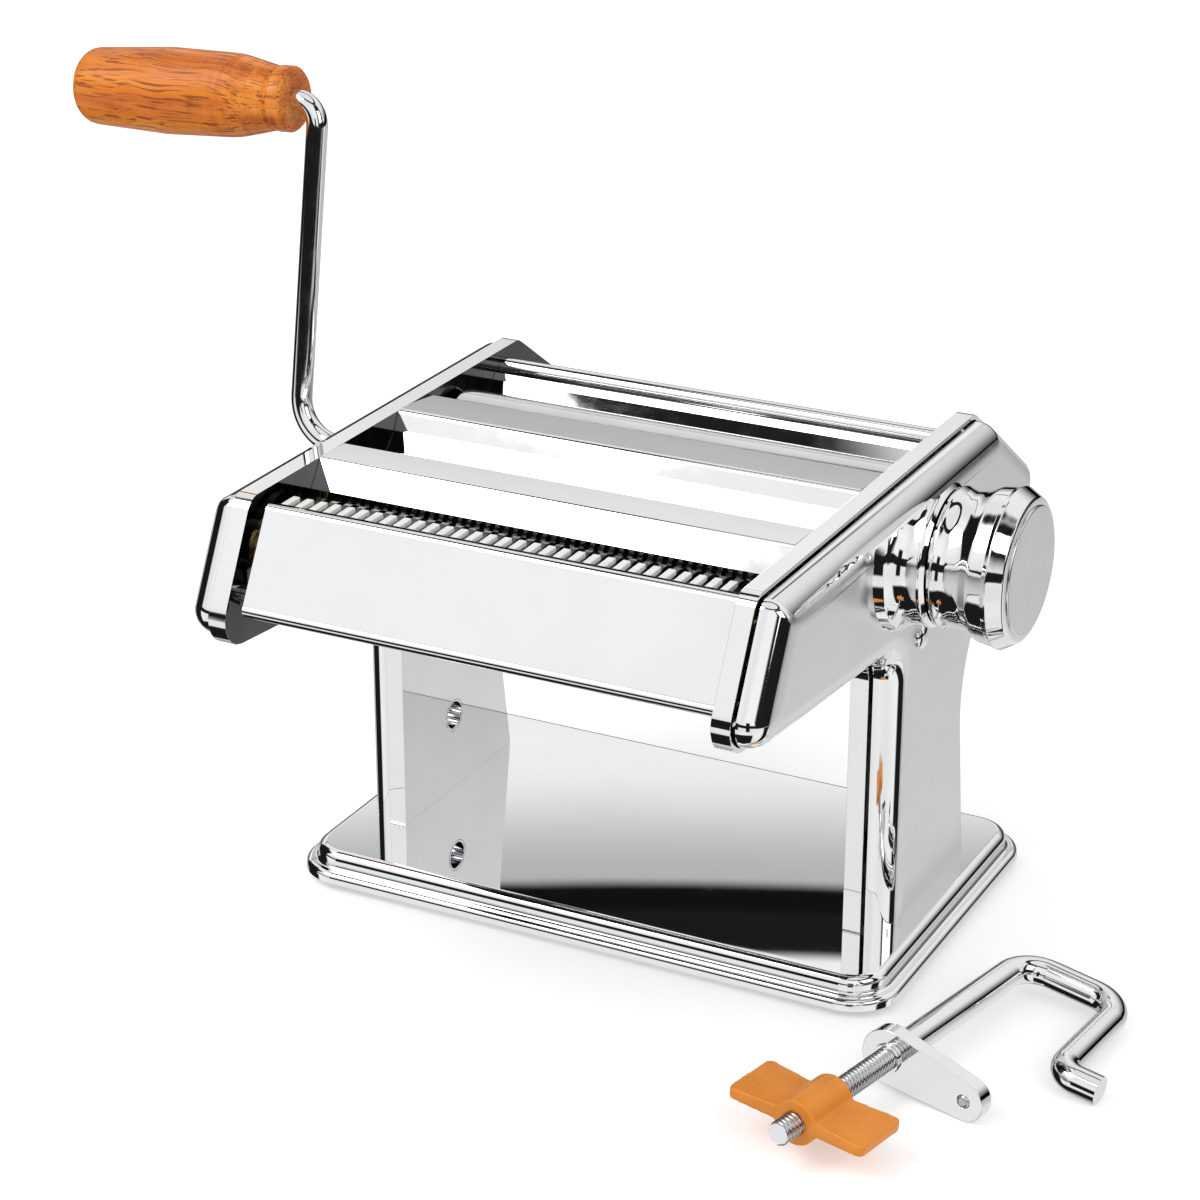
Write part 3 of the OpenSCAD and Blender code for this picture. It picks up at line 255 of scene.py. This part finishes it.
chrome = metal(
    "chrome_sheet", (0.90, 0.905, 0.91), (0.86, 0.865, 0.875), 0.02, 0.06, wave=0.03)
side_chrome = metal(
    "side_flat", (0.86, 0.865, 0.875), (0.82, 0.825, 0.835), 0.30, 0.36)
base_chrome = metal(
    "base_chrome", (0.90, 0.905, 0.91), (0.87, 0.875, 0.885), 0.004, 0.014)
# Near-black chrome for the frames' inner walls: painted shade inside the machine
painted_shade_chrome = metal(
    "inner_wall", (0.10, 0.101, 0.103), (0.06, 0.061, 0.063), 0.04, 0.1, wave=0.05)
rod_chrome = metal(
    "chrome_rod", (0.88, 0.885, 0.89), (0.82, 0.825, 0.835), 0.04, 0.10, wave=0.1)
knob_chrome = metal(
    "knob_chrome", (0.90, 0.905, 0.91), (0.84, 0.845, 0.855), 0.02, 0.06, wave=0.1)
face_chrome = metal(
    "knob_face", (0.80, 0.805, 0.81), (0.74, 0.745, 0.755), 0.20, 0.28,
    wave=0.05, drag=(1.0, 90.0, 6.0), drag_depth=0.03)
roller_steel = metal(
    "roller_steel", (0.78, 0.785, 0.79), (0.70, 0.705, 0.715), 0.10, 0.18,
    wave=0.05, drag=(8.0, 0.4, 0.4), drag_depth=0.04)
plain_steel = metal(
    "plain_steel", (0.62, 0.625, 0.635), (0.50, 0.505, 0.515), 0.2, 0.34, wave=0.1)
# Near-black steel for the cutters: painted shade deep inside the machine
cutter_steel = metal(
    "cutter_steel", (0.13, 0.132, 0.136), (0.07, 0.071, 0.074), 0.22, 0.36, wave=0.1)
# Darkened steel for the gears inside the frames: painted shade
gear_steel = metal(
    "gear_steel", (0.34, 0.34, 0.345), (0.22, 0.22, 0.23), 0.28, 0.46, wave=0.1)
# Dark steel for the scrapers, strippers and the covers' seams: painted shade
inner_steel = metal(
    "inner_steel", (0.20, 0.202, 0.206), (0.12, 0.122, 0.126), 0.26, 0.4, wave=0.1)
thread_steel = metal(
    "thread_steel", (0.66, 0.665, 0.67), (0.5, 0.505, 0.515), 0.14, 0.26, wave=0.05)
bush_brass = metal(
    "bush_brass", (0.80, 0.60, 0.28), (0.66, 0.46, 0.19), 0.2, 0.34, wave=0.1)
foot_rubber = moulding(
    "foot_rubber", (0.012, 0.012, 0.013), (0.03, 0.03, 0.032), 900.0, 900.0, 3.0,
    (0.62, 0.8), 0.4, dark_at=0.35)
comb_plastic = moulding(
    "comb_plastic", (0.8, 0.8, 0.79), (0.88, 0.88, 0.87), 260.0, 260.0, 3.0,
    (0.3, 0.42), 0.15)
grip_wood = wood_finish()
nut_plastic = moulding(
    "nut_plastic", (0.74, 0.235, 0.016), (0.86, 0.30, 0.030), 90.0, 1500.0, 2.0,
    (0.26, 0.38), 0.2)


# Mesh helpers

# Distances in metres: for joining points, dropping slivers and cutting along a plane
WELD = 2e-6
COVER_WELD = 1e-6
SLIVER = 1e-7
CUT = 1e-7
# Faces that turn by less than this, in degrees, are one flat
FLAT_TURN = 0.15

body_of = {node: obj["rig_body"] for node, obj in frame["nodes"].items()}


def settle(piece, node):
    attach(piece, body_of[node])
    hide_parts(node)
    return piece


def linked(name, mesh):
    piece = bpy.data.objects.new(name, mesh)
    scene.collection.objects.link(piece)
    return piece


def shown_as(name, mesh, finish):
    mesh.materials.clear()
    mesh.materials.append(finish)
    return linked(name, mesh)


@contextmanager
def editing(mesh):
    """A mesh opened for edits, which are written back at the end."""
    bm = bmesh.new()
    bm.from_mesh(mesh)
    yield bm
    bm.to_mesh(mesh)
    bm.free()


def cut_level(bm, z, **options):
    """Cuts an opened mesh along a level plane."""
    bmesh.ops.bisect_plane(
        bm, geom=bm.verts[:] + bm.edges[:] + bm.faces[:], dist=CUT,
        plane_co=(0, 0, z * MM), plane_no=(0, 0, 1), **options,
    )


def mark_edges(bm, sharp):
    """Smooth faces, with an edge wherever they turn by more than an angle."""
    limit = math.radians(sharp)
    for face in bm.faces:
        face.smooth = True
    for edge in bm.edges:
        edge.smooth = len(edge.link_faces) == 2 and edge.calc_face_angle(0.0) < limit


def even_shading(piece):
    """Normals weighted to the large faces."""
    normals = piece.modifiers.new("even_shading", "WEIGHTED_NORMAL")
    normals.keep_sharp = True


def soften(piece, width):
    """Adds a small rounding to a piece's edges."""
    bevel = piece.modifiers.new("softened", "BEVEL")
    bevel.width = width * MM
    bevel.segments = 2
    return bevel


def evaluated(piece):
    """The mesh that a piece's modifiers give."""
    bpy.context.view_layer.update()
    view = bpy.context.evaluated_depsgraph_get()
    return bpy.data.meshes.new_from_object(piece.evaluated_get(view))


def baked(piece):
    """Applies a piece's modifiers to its mesh."""
    mesh = evaluated(piece)
    piece.modifiers.clear()
    piece.data = mesh


def welded(node, sharp):
    """A copy of a CAD solid's mesh: triangles joined, flats merged and real edges marked."""
    mesh = frame["nodes"][node].data.copy()
    mesh.name = "dressed_" + node
    with editing(mesh) as bm:
        bmesh.ops.remove_doubles(bm, verts=bm.verts, dist=WELD)
        bmesh.ops.dissolve_degenerate(bm, dist=SLIVER, edges=bm.edges)
        flat = math.radians(FLAT_TURN)
        bmesh.ops.dissolve_limit(bm, angle_limit=flat, verts=bm.verts, edges=bm.edges)
        mark_edges(bm, sharp)
    return mesh


# Pieces dressed from the CAD solids

def dressed(node, finish, sharp, round_edge):
    """A piece in a CAD solid's own shape, smooth up to an angle, with its edges rounded."""
    piece = shown_as("piece_" + node, welded(node, sharp), finish)
    if round_edge:
        bevel = soften(piece, round_edge)
        bevel.limit_method = "ANGLE"
        bevel.angle_limit = math.radians(sharp)
    even_shading(piece)
    return settle(piece, node)


for node, finish, slot, sharp, round_edge in (
    ("base_plate", base_chrome, "chrome_sheet", 30, 0),
    ("rubber_feet", foot_rubber, "rubber", 30, 0.3),
    ("mid_guard", chrome, "chrome_sheet", 30, 0.15),
    ("roller_guard", chrome, "chrome_sheet", 30, 0.15),
    ("feed_guide", chrome, "chrome_sheet", 30, 0.15),
    ("chute_plate", chrome, "chrome_sheet", 30, 0.15),
    # The scrapers take the dark steel, which is painted shade
    ("front_scraper", inner_steel, "plain_steel", 30, 0.1),
    ("rear_scraper", inner_steel, "plain_steel", 30, 0.1),
    ("tie_rods", rod_chrome, "bright_steel", 30, 0.1),
    ("tie_screws", plain_steel, "plain_steel", 30, 0.1),
    ("foot_screws", plain_steel, "plain_steel", 30, 0.1),
    ("foot_nuts", plain_steel, "plain_steel", 30, 0.2),
    ("roller_bushes", bush_brass, "brass", 30, 0.1),
    ("cutter_bushes", bush_brass, "brass", 30, 0.1),
    ("cover_studs", rod_chrome, "bright_steel", 40, 0),
    ("clamp_socket", rod_chrome, "plain_steel", 30, 0.2),
    ("knob_bush", bush_brass, "brass", 30, 0.1),
    ("index_pin", plain_steel, "plain_steel", 30, 0),
    # The strippers take the dark steel, which is painted shade
    ("wide_strippers", inner_steel, "plain_steel", 30, 0),
    ("narrow_strippers", inner_steel, "plain_steel", 30, 0),
    ("rear_roller", roller_steel, "bright_steel", 30, 0),
    ("rear_roller_gear", gear_steel, "gear_steel", 25, 0.15),
    ("crank_rod", rod_chrome, "bright_steel", 30, 0),
    ("crank_grip", grip_wood, "wood", 38, 0),
    ("bearing_blocks", bush_brass, "brass", 30, 0.3),
    ("front_roller", roller_steel, "bright_steel", 30, 0),
    ("front_roller_gear", gear_steel, "gear_steel", 25, 0.15),
    ("knob_shaft", plain_steel, "plain_steel", 30, 0.1),
    ("knob", knob_chrome, "knob_chrome", 34, 0),
    ("knob_cap", face_chrome, "knob_face", 30, 0.4),
    ("knob_spring", plain_steel, "plain_steel", 70, 0),
    ("knob_retainer", plain_steel, "plain_steel", 30, 0.1),
    # The cutters take the near-black steel, which is painted shade
    ("wide_drive_cutter", cutter_steel, "cutter_steel", 30, 0),
    ("wide_drive_gear", gear_steel, "gear_steel", 25, 0.15),
    ("wide_idle_cutter", cutter_steel, "cutter_steel", 30, 0),
    ("wide_idle_gear", gear_steel, "gear_steel", 25, 0.15),
    ("narrow_drive_cutter", cutter_steel, "cutter_steel", 30, 0),
    ("narrow_drive_gear", gear_steel, "gear_steel", 25, 0.15),
    ("narrow_idle_cutter", cutter_steel, "cutter_steel", 30, 0),
    ("narrow_idle_gear", gear_steel, "gear_steel", 25, 0.15),
    ("clamp_rod", rod_chrome, "bright_steel", 30, 0),
    ("clamp_arm", rod_chrome, "bright_steel", 30, 0.7),
    ("clamp_pad", plain_steel, "plain_steel", 30, 0.2),
):
    dressed(node, finish, sharp, round_edge)


# The side frames, whose inner walls between the rollers and the cutters get a near-black chrome:
# painted shade

FRAME_X = 76.8
FRAME_NEAR = 0.1
HEAD_Z = 101.0

for node in ("left_frame", "right_frame"):
    side_frame = dressed(node, chrome, 30, 0.5)
    side_frame.data.materials.append(painted_shade_chrome)
    with editing(side_frame.data) as bm:
        cut_level(bm, HEAD_Z)
        for face in bm.faces:
            middle = face.calc_center_median()
            inner = abs(middle.x) < (FRAME_X + FRAME_NEAR) * MM and face.normal.x * middle.x < 0
            # Inner faces above the head take the near-black chrome, which is painted shade
            face.material_index = 1 if inner and middle.z > HEAD_Z * MM else 0


# The front panel, which leaves a gap for the gears by the left frame

PANEL_HALF = 73.4

panel = dressed("front_panel", chrome, 30, 0.15)
panel_scale = -PANEL_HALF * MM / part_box("front_panel")[0][0]
for vertex in panel.data.vertices:
    if vertex.co.x < 0:
        vertex.co.x *= panel_scale


# The pressed side covers, with the full rounding of drawn sheet

BAND_X = 82.6
COVER_X = 92.2
COVER_SHEET = 1.0
COVER_STEP = 1.8
COVER_SHARP = 34.0
SEAM_W = 0.7
SEAM_DEEP = 1.6
SEAM_NEAR = 0.01
ROUND_IN = 8.6
ROUND_DEEP = 8.2
ROUND_STEPS = 12
CORNER_STEPS = 10
HOLE_STEPS = 48
FOOT_Z = 11.5
# Faces that look sideways by this much of their normal have the satin finish
SATIN_FROM = 0.86
# Corners of a side as y, z and radius, turning left all the way round
SIDE_CORNERS = (
    (-114.6, 153.8, 6.5), (-136.0, 112.5, 9.0), (-33.0, 103.5, 9.0),
    (-33.0, -1.5, 0.6), (38.0, -1.5, 0.6), (25.0, 88.0, 34.0),
    (83.0, 110.0, 6.5), (83.0, 129.0, 6.5), (47.0, 153.8, 6.5),
)
# A corner under SQUARE_R counts as square; moved in, corners keep at least these radii
SQUARE_R = 1.0
SQUARE_LEAST = 0.4
ROUND_LEAST = 3.0
# Holes as y, z and radius
KNOB_AT = (-35.0, 140.8)
KNOB_HOLE = (*KNOB_AT, 6.2)
CRANK_HOLES = ((-22.25, 136.0, 6.0), (-89.5, 136.0, 6.0), (-53.0, 136.0, 6.0))
CLAMP_HOLE = (0.0, 37.5, 6.53)
STUD_HOLE = (-17.0, 106.0, 2.03)


def moved_in(corners, d):
    """The outline moved in by d; outer corners keep at least a small radius."""
    moved = []
    count = len(corners)
    for i in range(count):
        before, here, after = (Vector(corners[k % count][:2]) for k in (i - 1, i, i + 1))
        go_in, go_out = (here - before).normalized(), (after - here).normalized()
        left_in, left_out = Vector((-go_in.y, go_in.x)), Vector((-go_out.y, go_out.x))
        place = here + (left_in + left_out) * d / (1.0 + left_in.dot(left_out))
        outer = go_in.x * go_out.y - go_in.y * go_out.x > 0.0
        r = corners[i][2]
        least = ROUND_LEAST if r > SQUARE_R else SQUARE_LEAST
        moved.append((place, max(r - d, least) if outer else r + d))
    return moved


def outline_points(corners):
    """Points along an outline with rounded corners."""
    points = []
    count = len(corners)
    for i in range(count):
        here, r = corners[i]
        u = (corners[i - 1][0] - here).normalized()
        w = (corners[(i + 1) % count][0] - here).normalized()
        half = math.acos(max(-1.0, min(1.0, u.dot(w)))) / 2.0
        middle = here + (u + w).normalized() * r / math.sin(half)
        first = here + u * r / math.tan(half) - middle
        last = here + w * r / math.tan(half) - middle
        start = math.atan2(first.y, first.x)
        turned = math.atan2(last.y, last.x) - start
        sweep = (turned + 3.0 * math.pi) % (2.0 * math.pi) - math.pi
        for k in range(CORNER_STEPS + 1):
            a = start + sweep * k / CORNER_STEPS
            points.append(middle + r * Vector((math.cos(a), math.sin(a))))
    return points


def hole_points(y, z, r):
    angles = [math.radians(360.0 / HOLE_STEPS * k) for k in range(HOLE_STEPS)]
    return [(y + r * math.cos(a), z + r * math.sin(a)) for a in angles]


def cover_stations():
    """A cover's rings from its rim to its flat: each one's x and how far in it lies."""
    seam = COVER_STEP + SEAM_DEEP
    stations = [(BAND_X, seam), (BAND_X + SEAM_W, seam), (BAND_X + SEAM_W, COVER_STEP)]
    for k in range(ROUND_STEPS + 1):
        a = math.radians(90.0 * k / ROUND_STEPS)
        x = COVER_X - ROUND_DEEP * (1 - math.sin(a))
        stations.append((x, COVER_STEP + ROUND_IN * (1 - math.cos(a))))
    return stations


def ring(bm, x, points):
    return [bm.verts.new(mm(x, y, z)) for y, z in points]


def cover_surface(mesh, side, holes):
    """Rings from the open rim over the rounded edge to the flat, which has round holes."""
    with editing(mesh) as bm:
        rings = [
            ring(bm, side * x, outline_points(moved_in(SIDE_CORNERS, d)))
            for x, d in cover_stations()
        ]
        for a, b in zip(rings, rings[1:]):
            for i in range(len(a)):
                j = (i + 1) % len(a)
                bm.faces.new((a[i], a[j], b[j], b[i]))
        inmost = rings[-1]
        rim = [bm.edges.get((inmost[i - 1], inmost[i])) for i in range(len(inmost))]
        for hole in holes:
            loop = ring(bm, side * COVER_X, hole_points(*hole))
            rim += [bm.edges.new((loop[k - 1], loop[k])) for k in range(HOLE_STEPS)]
        bmesh.ops.triangle_fill(bm, use_beauty=True, use_dissolve=False, edges=rim)
        cut_level(bm, FOOT_Z, clear_inner=True)
        bmesh.ops.remove_doubles(bm, verts=bm.verts, dist=COVER_WELD)
        bmesh.ops.recalc_face_normals(bm, faces=bm.faces)
        flat = max(bm.faces, key=lambda face: side * face.calc_center_median().x)
        if side * flat.normal.x < 0:
            bmesh.ops.reverse_faces(bm, faces=bm.faces)


def cover_skin(name, side, holes):
    """One cover: polished round its edge, satin on its flat, with painted shade in its seam."""
    mesh = bpy.data.meshes.new(name)
    cover_surface(mesh, side, holes)
    piece = shown_as(name, mesh, chrome)
    mesh.materials.append(side_chrome)
    mesh.materials.append(inner_steel)
    # Faces in the seam take the dark steel: painted shade
    for face in mesh.polygons:
        if abs(face.center.x) < (BAND_X + SEAM_W + SEAM_NEAR) * MM:
            face.material_index = 2
        elif abs(face.normal.x) > SATIN_FROM:
            face.material_index = 1
    sheet = piece.modifiers.new("sheet", "SOLIDIFY")
    sheet.thickness = COVER_SHEET * MM
    sheet.offset = -1.0
    sheet.use_even_offset = True
    baked(piece)
    with editing(piece.data) as bm:
        mark_edges(bm, COVER_SHARP)
    even_shading(piece)
    return piece


left_cover = cover_skin("piece_left_cover", -1, (*CRANK_HOLES, CLAMP_HOLE, STUD_HOLE))
settle(left_cover, "left_cover")
right_cover = cover_skin("piece_right_cover", 1, (KNOB_HOLE, STUD_HOLE))
settle(right_cover, "right_cover")


# The collar that the right cover carries

COLLAR_ROOT = 1.6
COLLAR_NEAR = 0.02


def knob_collar():
    """The right cover's solid beyond its flat, with its root let into the rounded edge."""
    mesh = welded("right_cover", COVER_SHARP)
    plane, near = mm(COVER_X, COLLAR_NEAR)
    with editing(mesh) as bm:
        low = [face for face in bm.faces if max(v.co.x for v in face.verts) < plane + near]
        bmesh.ops.delete(bm, geom=low, context="FACES")
        root = [
            edge for edge in bm.edges
            if len(edge.link_faces) == 1 and all(abs(v.co.x - plane) < near for v in edge.verts)
        ]
        skirt = bmesh.ops.extrude_edge_only(bm, edges=root)["geom"]
        ends = [v for v in skirt if isinstance(v, bmesh.types.BMVert)]
        bmesh.ops.translate(bm, vec=mm(-COLLAR_ROOT, 0, 0), verts=ends)
    piece = shown_as("piece_knob_collar", mesh, chrome)
    even_shading(piece)
    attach(piece, body_of["right_cover"])


knob_collar()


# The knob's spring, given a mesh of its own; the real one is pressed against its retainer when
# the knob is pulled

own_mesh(bpy.data.objects["piece_knob_spring"])


# The wing nut, with the soft edges of a moulding

NUT_SHARP = 30.0
NUT_VOXEL = 0.4
NUT_ROUNDS = 10

wing_nut = shown_as("piece_wing_nut", welded("wing_nut", NUT_SHARP), nut_plastic)
skin = wing_nut.modifiers.new("skin", "REMESH")
skin.mode = "VOXEL"
skin.voxel_size = NUT_VOXEL * MM
soft = wing_nut.modifiers.new("soft", "SMOOTH")
soft.factor = 0.5
soft.iterations = NUT_ROUNDS
baked(wing_nut)
for face in wing_nut.data.polygons:
    face.use_smooth = True
settle(wing_nut, "wing_nut")


# Pieces made by Geometry Nodes

class Maker(Wiring):
    """A Geometry Nodes tree that makes one mesh from named sizes."""

    def __init__(self, name, sizes):
        super().__init__(bpy.data.node_groups.new(name, "GeometryNodeTree"))
        interface = self.tree.interface
        interface.new_socket("Geometry", in_out="OUTPUT", socket_type="NodeSocketGeometry")
        for size, kind in sizes.items():
            interface.new_socket(size, in_out="INPUT", socket_type="NodeSocket" + kind)
        self.given = self.add("NodeGroupInput").outputs

    def close(self, geometry, finish):
        """Gives the geometry a finish and leads it out of the tree."""
        plain = self.add("GeometryNodeRealizeInstances", Geometry=geometry).outputs[0]
        coat = self.add("GeometryNodeSetMaterial", Geometry=plain, Material=finish)
        self.put(self.add("NodeGroupOutput").inputs[0], coat.outputs[0])
        return self.tree


def thread_tree(finish):
    """A thread's ridge, swept along a helix."""
    m = Maker("stem_thread", {
        "Turns": "Float", "Length": "Float", "Radius": "Float", "Ridge": "Float",
    })
    helix = m.add(
        "GeometryNodeCurveSpiral", Resolution=28, Rotations=m.given["Turns"],
        Height=m.given["Length"], Start_Radius=m.given["Radius"], End_Radius=m.given["Radius"],
    )
    ridge = m.add("GeometryNodeCurvePrimitiveCircle", Resolution=8, Radius=m.given["Ridge"])
    sweep = m.add(
        "GeometryNodeCurveToMesh", Curve=helix.outputs["Curve"],
        Profile_Curve=ridge.outputs["Curve"], Fill_Caps=True,
    )
    return m.close(sweep.outputs["Mesh"], finish)


def comb_tree(finish):
    """A row of teeth on a strip."""
    m = Maker("comb_row", {
        "Teeth": "Int", "Pitch": "Vector", "First": "Vector",
        "Tooth": "Vector", "Strip": "Vector", "Strip Place": "Vector",
    })
    row = m.add(
        "GeometryNodeMeshLine", {"mode": "OFFSET"}, Count=m.given["Teeth"],
        Start_Location=m.given["First"], Offset=m.given["Pitch"],
    )
    tooth = m.add("GeometryNodeMeshCube", Size=m.given["Tooth"])
    teeth = m.add(
        "GeometryNodeInstanceOnPoints", Points=row.outputs["Mesh"],
        Instance=tooth.outputs["Mesh"],
    )
    strip = m.add("GeometryNodeMeshCube", Size=m.given["Strip"])
    moved = m.add(
        "GeometryNodeTransform", Geometry=strip.outputs["Mesh"],
        Translation=m.given["Strip Place"],
    )
    both = m.add("GeometryNodeJoinGeometry")
    m.put(both.inputs[0], teeth.outputs["Instances"])
    m.put(both.inputs[0], moved.outputs["Geometry"])
    return m.close(both.outputs[0], finish)


def made_by(tree, name, sizes):
    """The mesh that a Geometry Nodes tree gives for these sizes, as a plain object."""
    maker = linked(name + "_maker", bpy.data.meshes.new(name + "_maker"))
    modifier = maker.modifiers.new("maker", "NODES")
    modifier.node_group = tree
    for item in tree.interface.items_tree:
        if item.in_out == "INPUT":
            modifier[item.identifier] = sizes[item.name]
    mesh = evaluated(maker)
    mesh.name = name
    bpy.data.objects.remove(maker)
    return linked(name, mesh)


# The comb along the front panel's lip

TEETH = 31
TOOTH_PITCH = 4.65
TOOTH_SIZE = (2.3, 7.0, 1.6)
TOOTH_Y, TOOTH_Z = -104.7, 150.1
STRIP_GAP = 0.4
STRIP_SIZE = (2 * (PANEL_HALF - STRIP_GAP), 2.2, 1.2)
STRIP_PLACE = (0.0, -108.8, 149.15)
COMB_ROUND = 0.25

comb = made_by(comb_tree(comb_plastic), "piece_front_comb", {
    "Teeth": TEETH,
    "Pitch": mm(TOOTH_PITCH, 0.0, 0.0),
    "First": mm(-TOOTH_PITCH * (TEETH - 1) / 2, TOOTH_Y, TOOTH_Z),
    "Tooth": mm(*TOOTH_SIZE),
    "Strip": mm(*STRIP_SIZE),
    "Strip Place": mm(*STRIP_PLACE),
})
soften(comb, COMB_ROUND)
baked(comb)
settle(comb, "front_comb")


# The clamp's screw thread, wound on its stem

CLAMP_END = Vector((106.6, -147.5, 12.2)) * MM
CLAMP_TURN = (
    Matrix.Rotation(math.radians(78.6), 4, "Z") @ Matrix.Rotation(math.radians(1.4), 4, "Y")
)
THREAD_FROM = 0.2
THREAD_L = 52.0
THREAD_PITCH = 1.5
STEM_R = 3.1
RIDGE_R = 0.42

thread = made_by(thread_tree(thread_steel), "clamp_thread", {
    "Turns": THREAD_L / THREAD_PITCH,
    "Length": THREAD_L * MM,
    "Radius": STEM_R * MM,
    "Ridge": RIDGE_R * MM,
})
thread.data.transform(
    Matrix.Translation(CLAMP_END) @ CLAMP_TURN
    @ Matrix.Translation(Vector(mm(THREAD_FROM, 0, 0)))
    @ Matrix.Rotation(math.radians(90), 4, "Y")
)
for face in thread.data.polygons:
    face.use_smooth = True
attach(thread, "clamp")


# Floor, light and camera

WHITE = (1.0, 1.0, 1.0, 1.0)
FLOOR_HALF = 6
FLOOR_GREY = (0.9, 0.9, 0.9, 1.0)
FLOOR_LIFT = 0.36
# The tent's strength for matt surfaces and for the camera, and what a black card leaves of it
TENT_LIGHT = 0.72
TENT_SEEN = 1.0
CARD_LEFT = 0.012

# Ranges in degrees, each from, to and its soft end. Turn is 0 in front of the machine and
# grows towards its right side; rise is 0 level with the machine and grows upwards.
REAR_RIGHT = ((116.0, 196.0, 8.0), (-196.0, -164.0, 8.0))
REAR_LEFT = (-174.0, -114.0, 8.0)
# Black rings, by their rise
RINGS = ((-6.0, 9.0, 2.5), (57.0, 67.0, 2.0))
# Black cards, by their turn and rise
CARDS = (
    ((40.0, 106.0, 8.0), (-8.0, 60.0, 4.0)),
    ((74.0, 106.0, 6.0), (-80.0, -4.0, 4.0)),
    ((-80.0, 40.0, 6.0), (-84.0, -33.0, 5.0)),
    ((-34.0, -15.0, 3.0), (-18.0, 12.0, 3.0)),
    ((8.0, 26.0, 3.0), (-22.0, 21.0, 4.0)),
    ((-118.0, -64.0, 6.0), (-70.0, 46.0, 6.0)),
    (REAR_LEFT, (27.9, 29.4, 0.25)),
)


def floor():
    """White paper, a little brighter for the camera than for the light it gives back."""
    h = FLOOR_HALF
    mesh = bpy.data.meshes.new("floor")
    mesh.from_pydata([(-h, -h, 0), (h, -h, 0), (h, h, 0), (-h, h, 0)], [], [(0, 1, 2, 3)])
    paper = bpy.data.materials.new("floor_paper")
    paper.use_nodes = True
    w = Wiring(paper.node_tree)
    path = w.add("ShaderNodeLightPath")
    matte = w.add("ShaderNodeBsdfDiffuse", Color=FLOOR_GREY).outputs[0]
    lift = w.add("ShaderNodeEmission", Color=WHITE, Strength=FLOOR_LIFT).outputs[0]
    seen = w.fill(w.add("ShaderNodeAddShader"), matte, lift)
    mixed = w.fill(w.add("ShaderNodeMixShader"), path.outputs["Is Camera Ray"], matte, seen)
    w.put(w.add("ShaderNodeOutputMaterial").inputs[0], mixed)
    plane = shown_as("floor", mesh, paper)
    plane.visible_glossy = False


def surroundings():
    """A white tent for the light, with black cards and grey cloths that only metal shows."""
    world = bpy.data.worlds.new("studio")
    scene.world = world
    world.use_nodes = True
    w = Wiring(world.node_tree)
    path = w.add("ShaderNodeLightPath")
    way = w.add("ShaderNodeTexCoord").outputs["Generated"]
    x, y, z = w.add("ShaderNodeSeparateXYZ", Vector=way).outputs
    rise = w.math("DEGREES", w.math("ARCSINE", z))
    turn = w.math("DEGREES", w.math("ARCTAN2", x, w.math("MULTIPLY", y, -1.0)))

    # Each card is 1 where it stands and 0 beside it
    dark = w.math("MAXIMUM", *(w.band(rise, *ends) for ends in RINGS))
    for across, up in CARDS:
        card = w.math("MULTIPLY", w.band(turn, *across), w.band(rise, *up))
        dark = w.math("MAXIMUM", dark, card)

    # Grey cloths behind the machine, which its sides and tops show
    rear_right = w.math("MAXIMUM", *(w.band(turn, *ends) for ends in REAR_RIGHT))
    below = w.math("MULTIPLY", rear_right, w.span(rise, -8.0, -3.0, 1.0, 0.0))
    under_card = w.math("SUBTRACT", 1.0, w.span(rise, 28.4, 28.6))
    rear_left = w.math("MULTIPLY", w.band(turn, *REAR_LEFT), under_card)
    tops = w.math(
        "MINIMUM", w.span(rise, 10.0, 23.0, 0.40, 0.95), w.span(rise, 25.8, 27.9, 0.95, 0.5),
    )
    level = w.span(w.noise(way, 1.6, 1.0), 0.35, 0.65, 0.86, 1.0)
    level = w.mix(rear_right, level, w.span(rise, 4.0, 38.0, 0.04, 0.92))
    level = w.mix(below, level, w.span(rise, -36.0, -13.0, 0.82, 0.56))
    level = w.mix(rear_left, level, tops)

    shown = w.math("MULTIPLY", level, w.span(dark, 0.0, 1.0, 1.0, CARD_LEFT, "LINEAR"))
    plain = w.span(path.outputs["Is Camera Ray"], 0.0, 1.0, TENT_LIGHT, TENT_SEEN, "LINEAR")
    strength = w.mix(path.outputs["Is Glossy Ray"], plain, shown)
    sky = w.add("ShaderNodeBackground", Color=WHITE, Strength=strength)
    w.put(w.add("ShaderNodeOutputWorld").inputs[0], sky.outputs[0])


LAMP_AIM = Vector((0.0, -0.02, 0.06))


def lamp(name, place, size, power):
    light = bpy.data.lights.new(name, "AREA")
    light.energy = power
    light.size = size
    obj = bpy.data.objects.new(name, light)
    obj.location = place
    obj.rotation_euler = (LAMP_AIM - Vector(place)).to_track_quat("-Z", "Y").to_euler()
    scene.collection.objects.link(obj)


floor()
surroundings()
lamp("key", (-0.9, -0.9, 1.5), 1.0, 11.0)
lamp("fill", (1.3, -0.5, 1.0), 0.9, 4.0)

camera_data = bpy.data.cameras.new("camera")
camera_data.sensor_width = 36.0
camera_data.lens = 96.33
camera = bpy.data.objects.new("camera", camera_data)
camera.location = (0.4026, -0.8340, 0.4865)
camera.rotation_euler = (math.radians(67.0), 0.0, math.radians(27.03))
scene.collection.objects.link(camera)
scene.camera = camera
scene.view_settings.view_transform = "Standard"
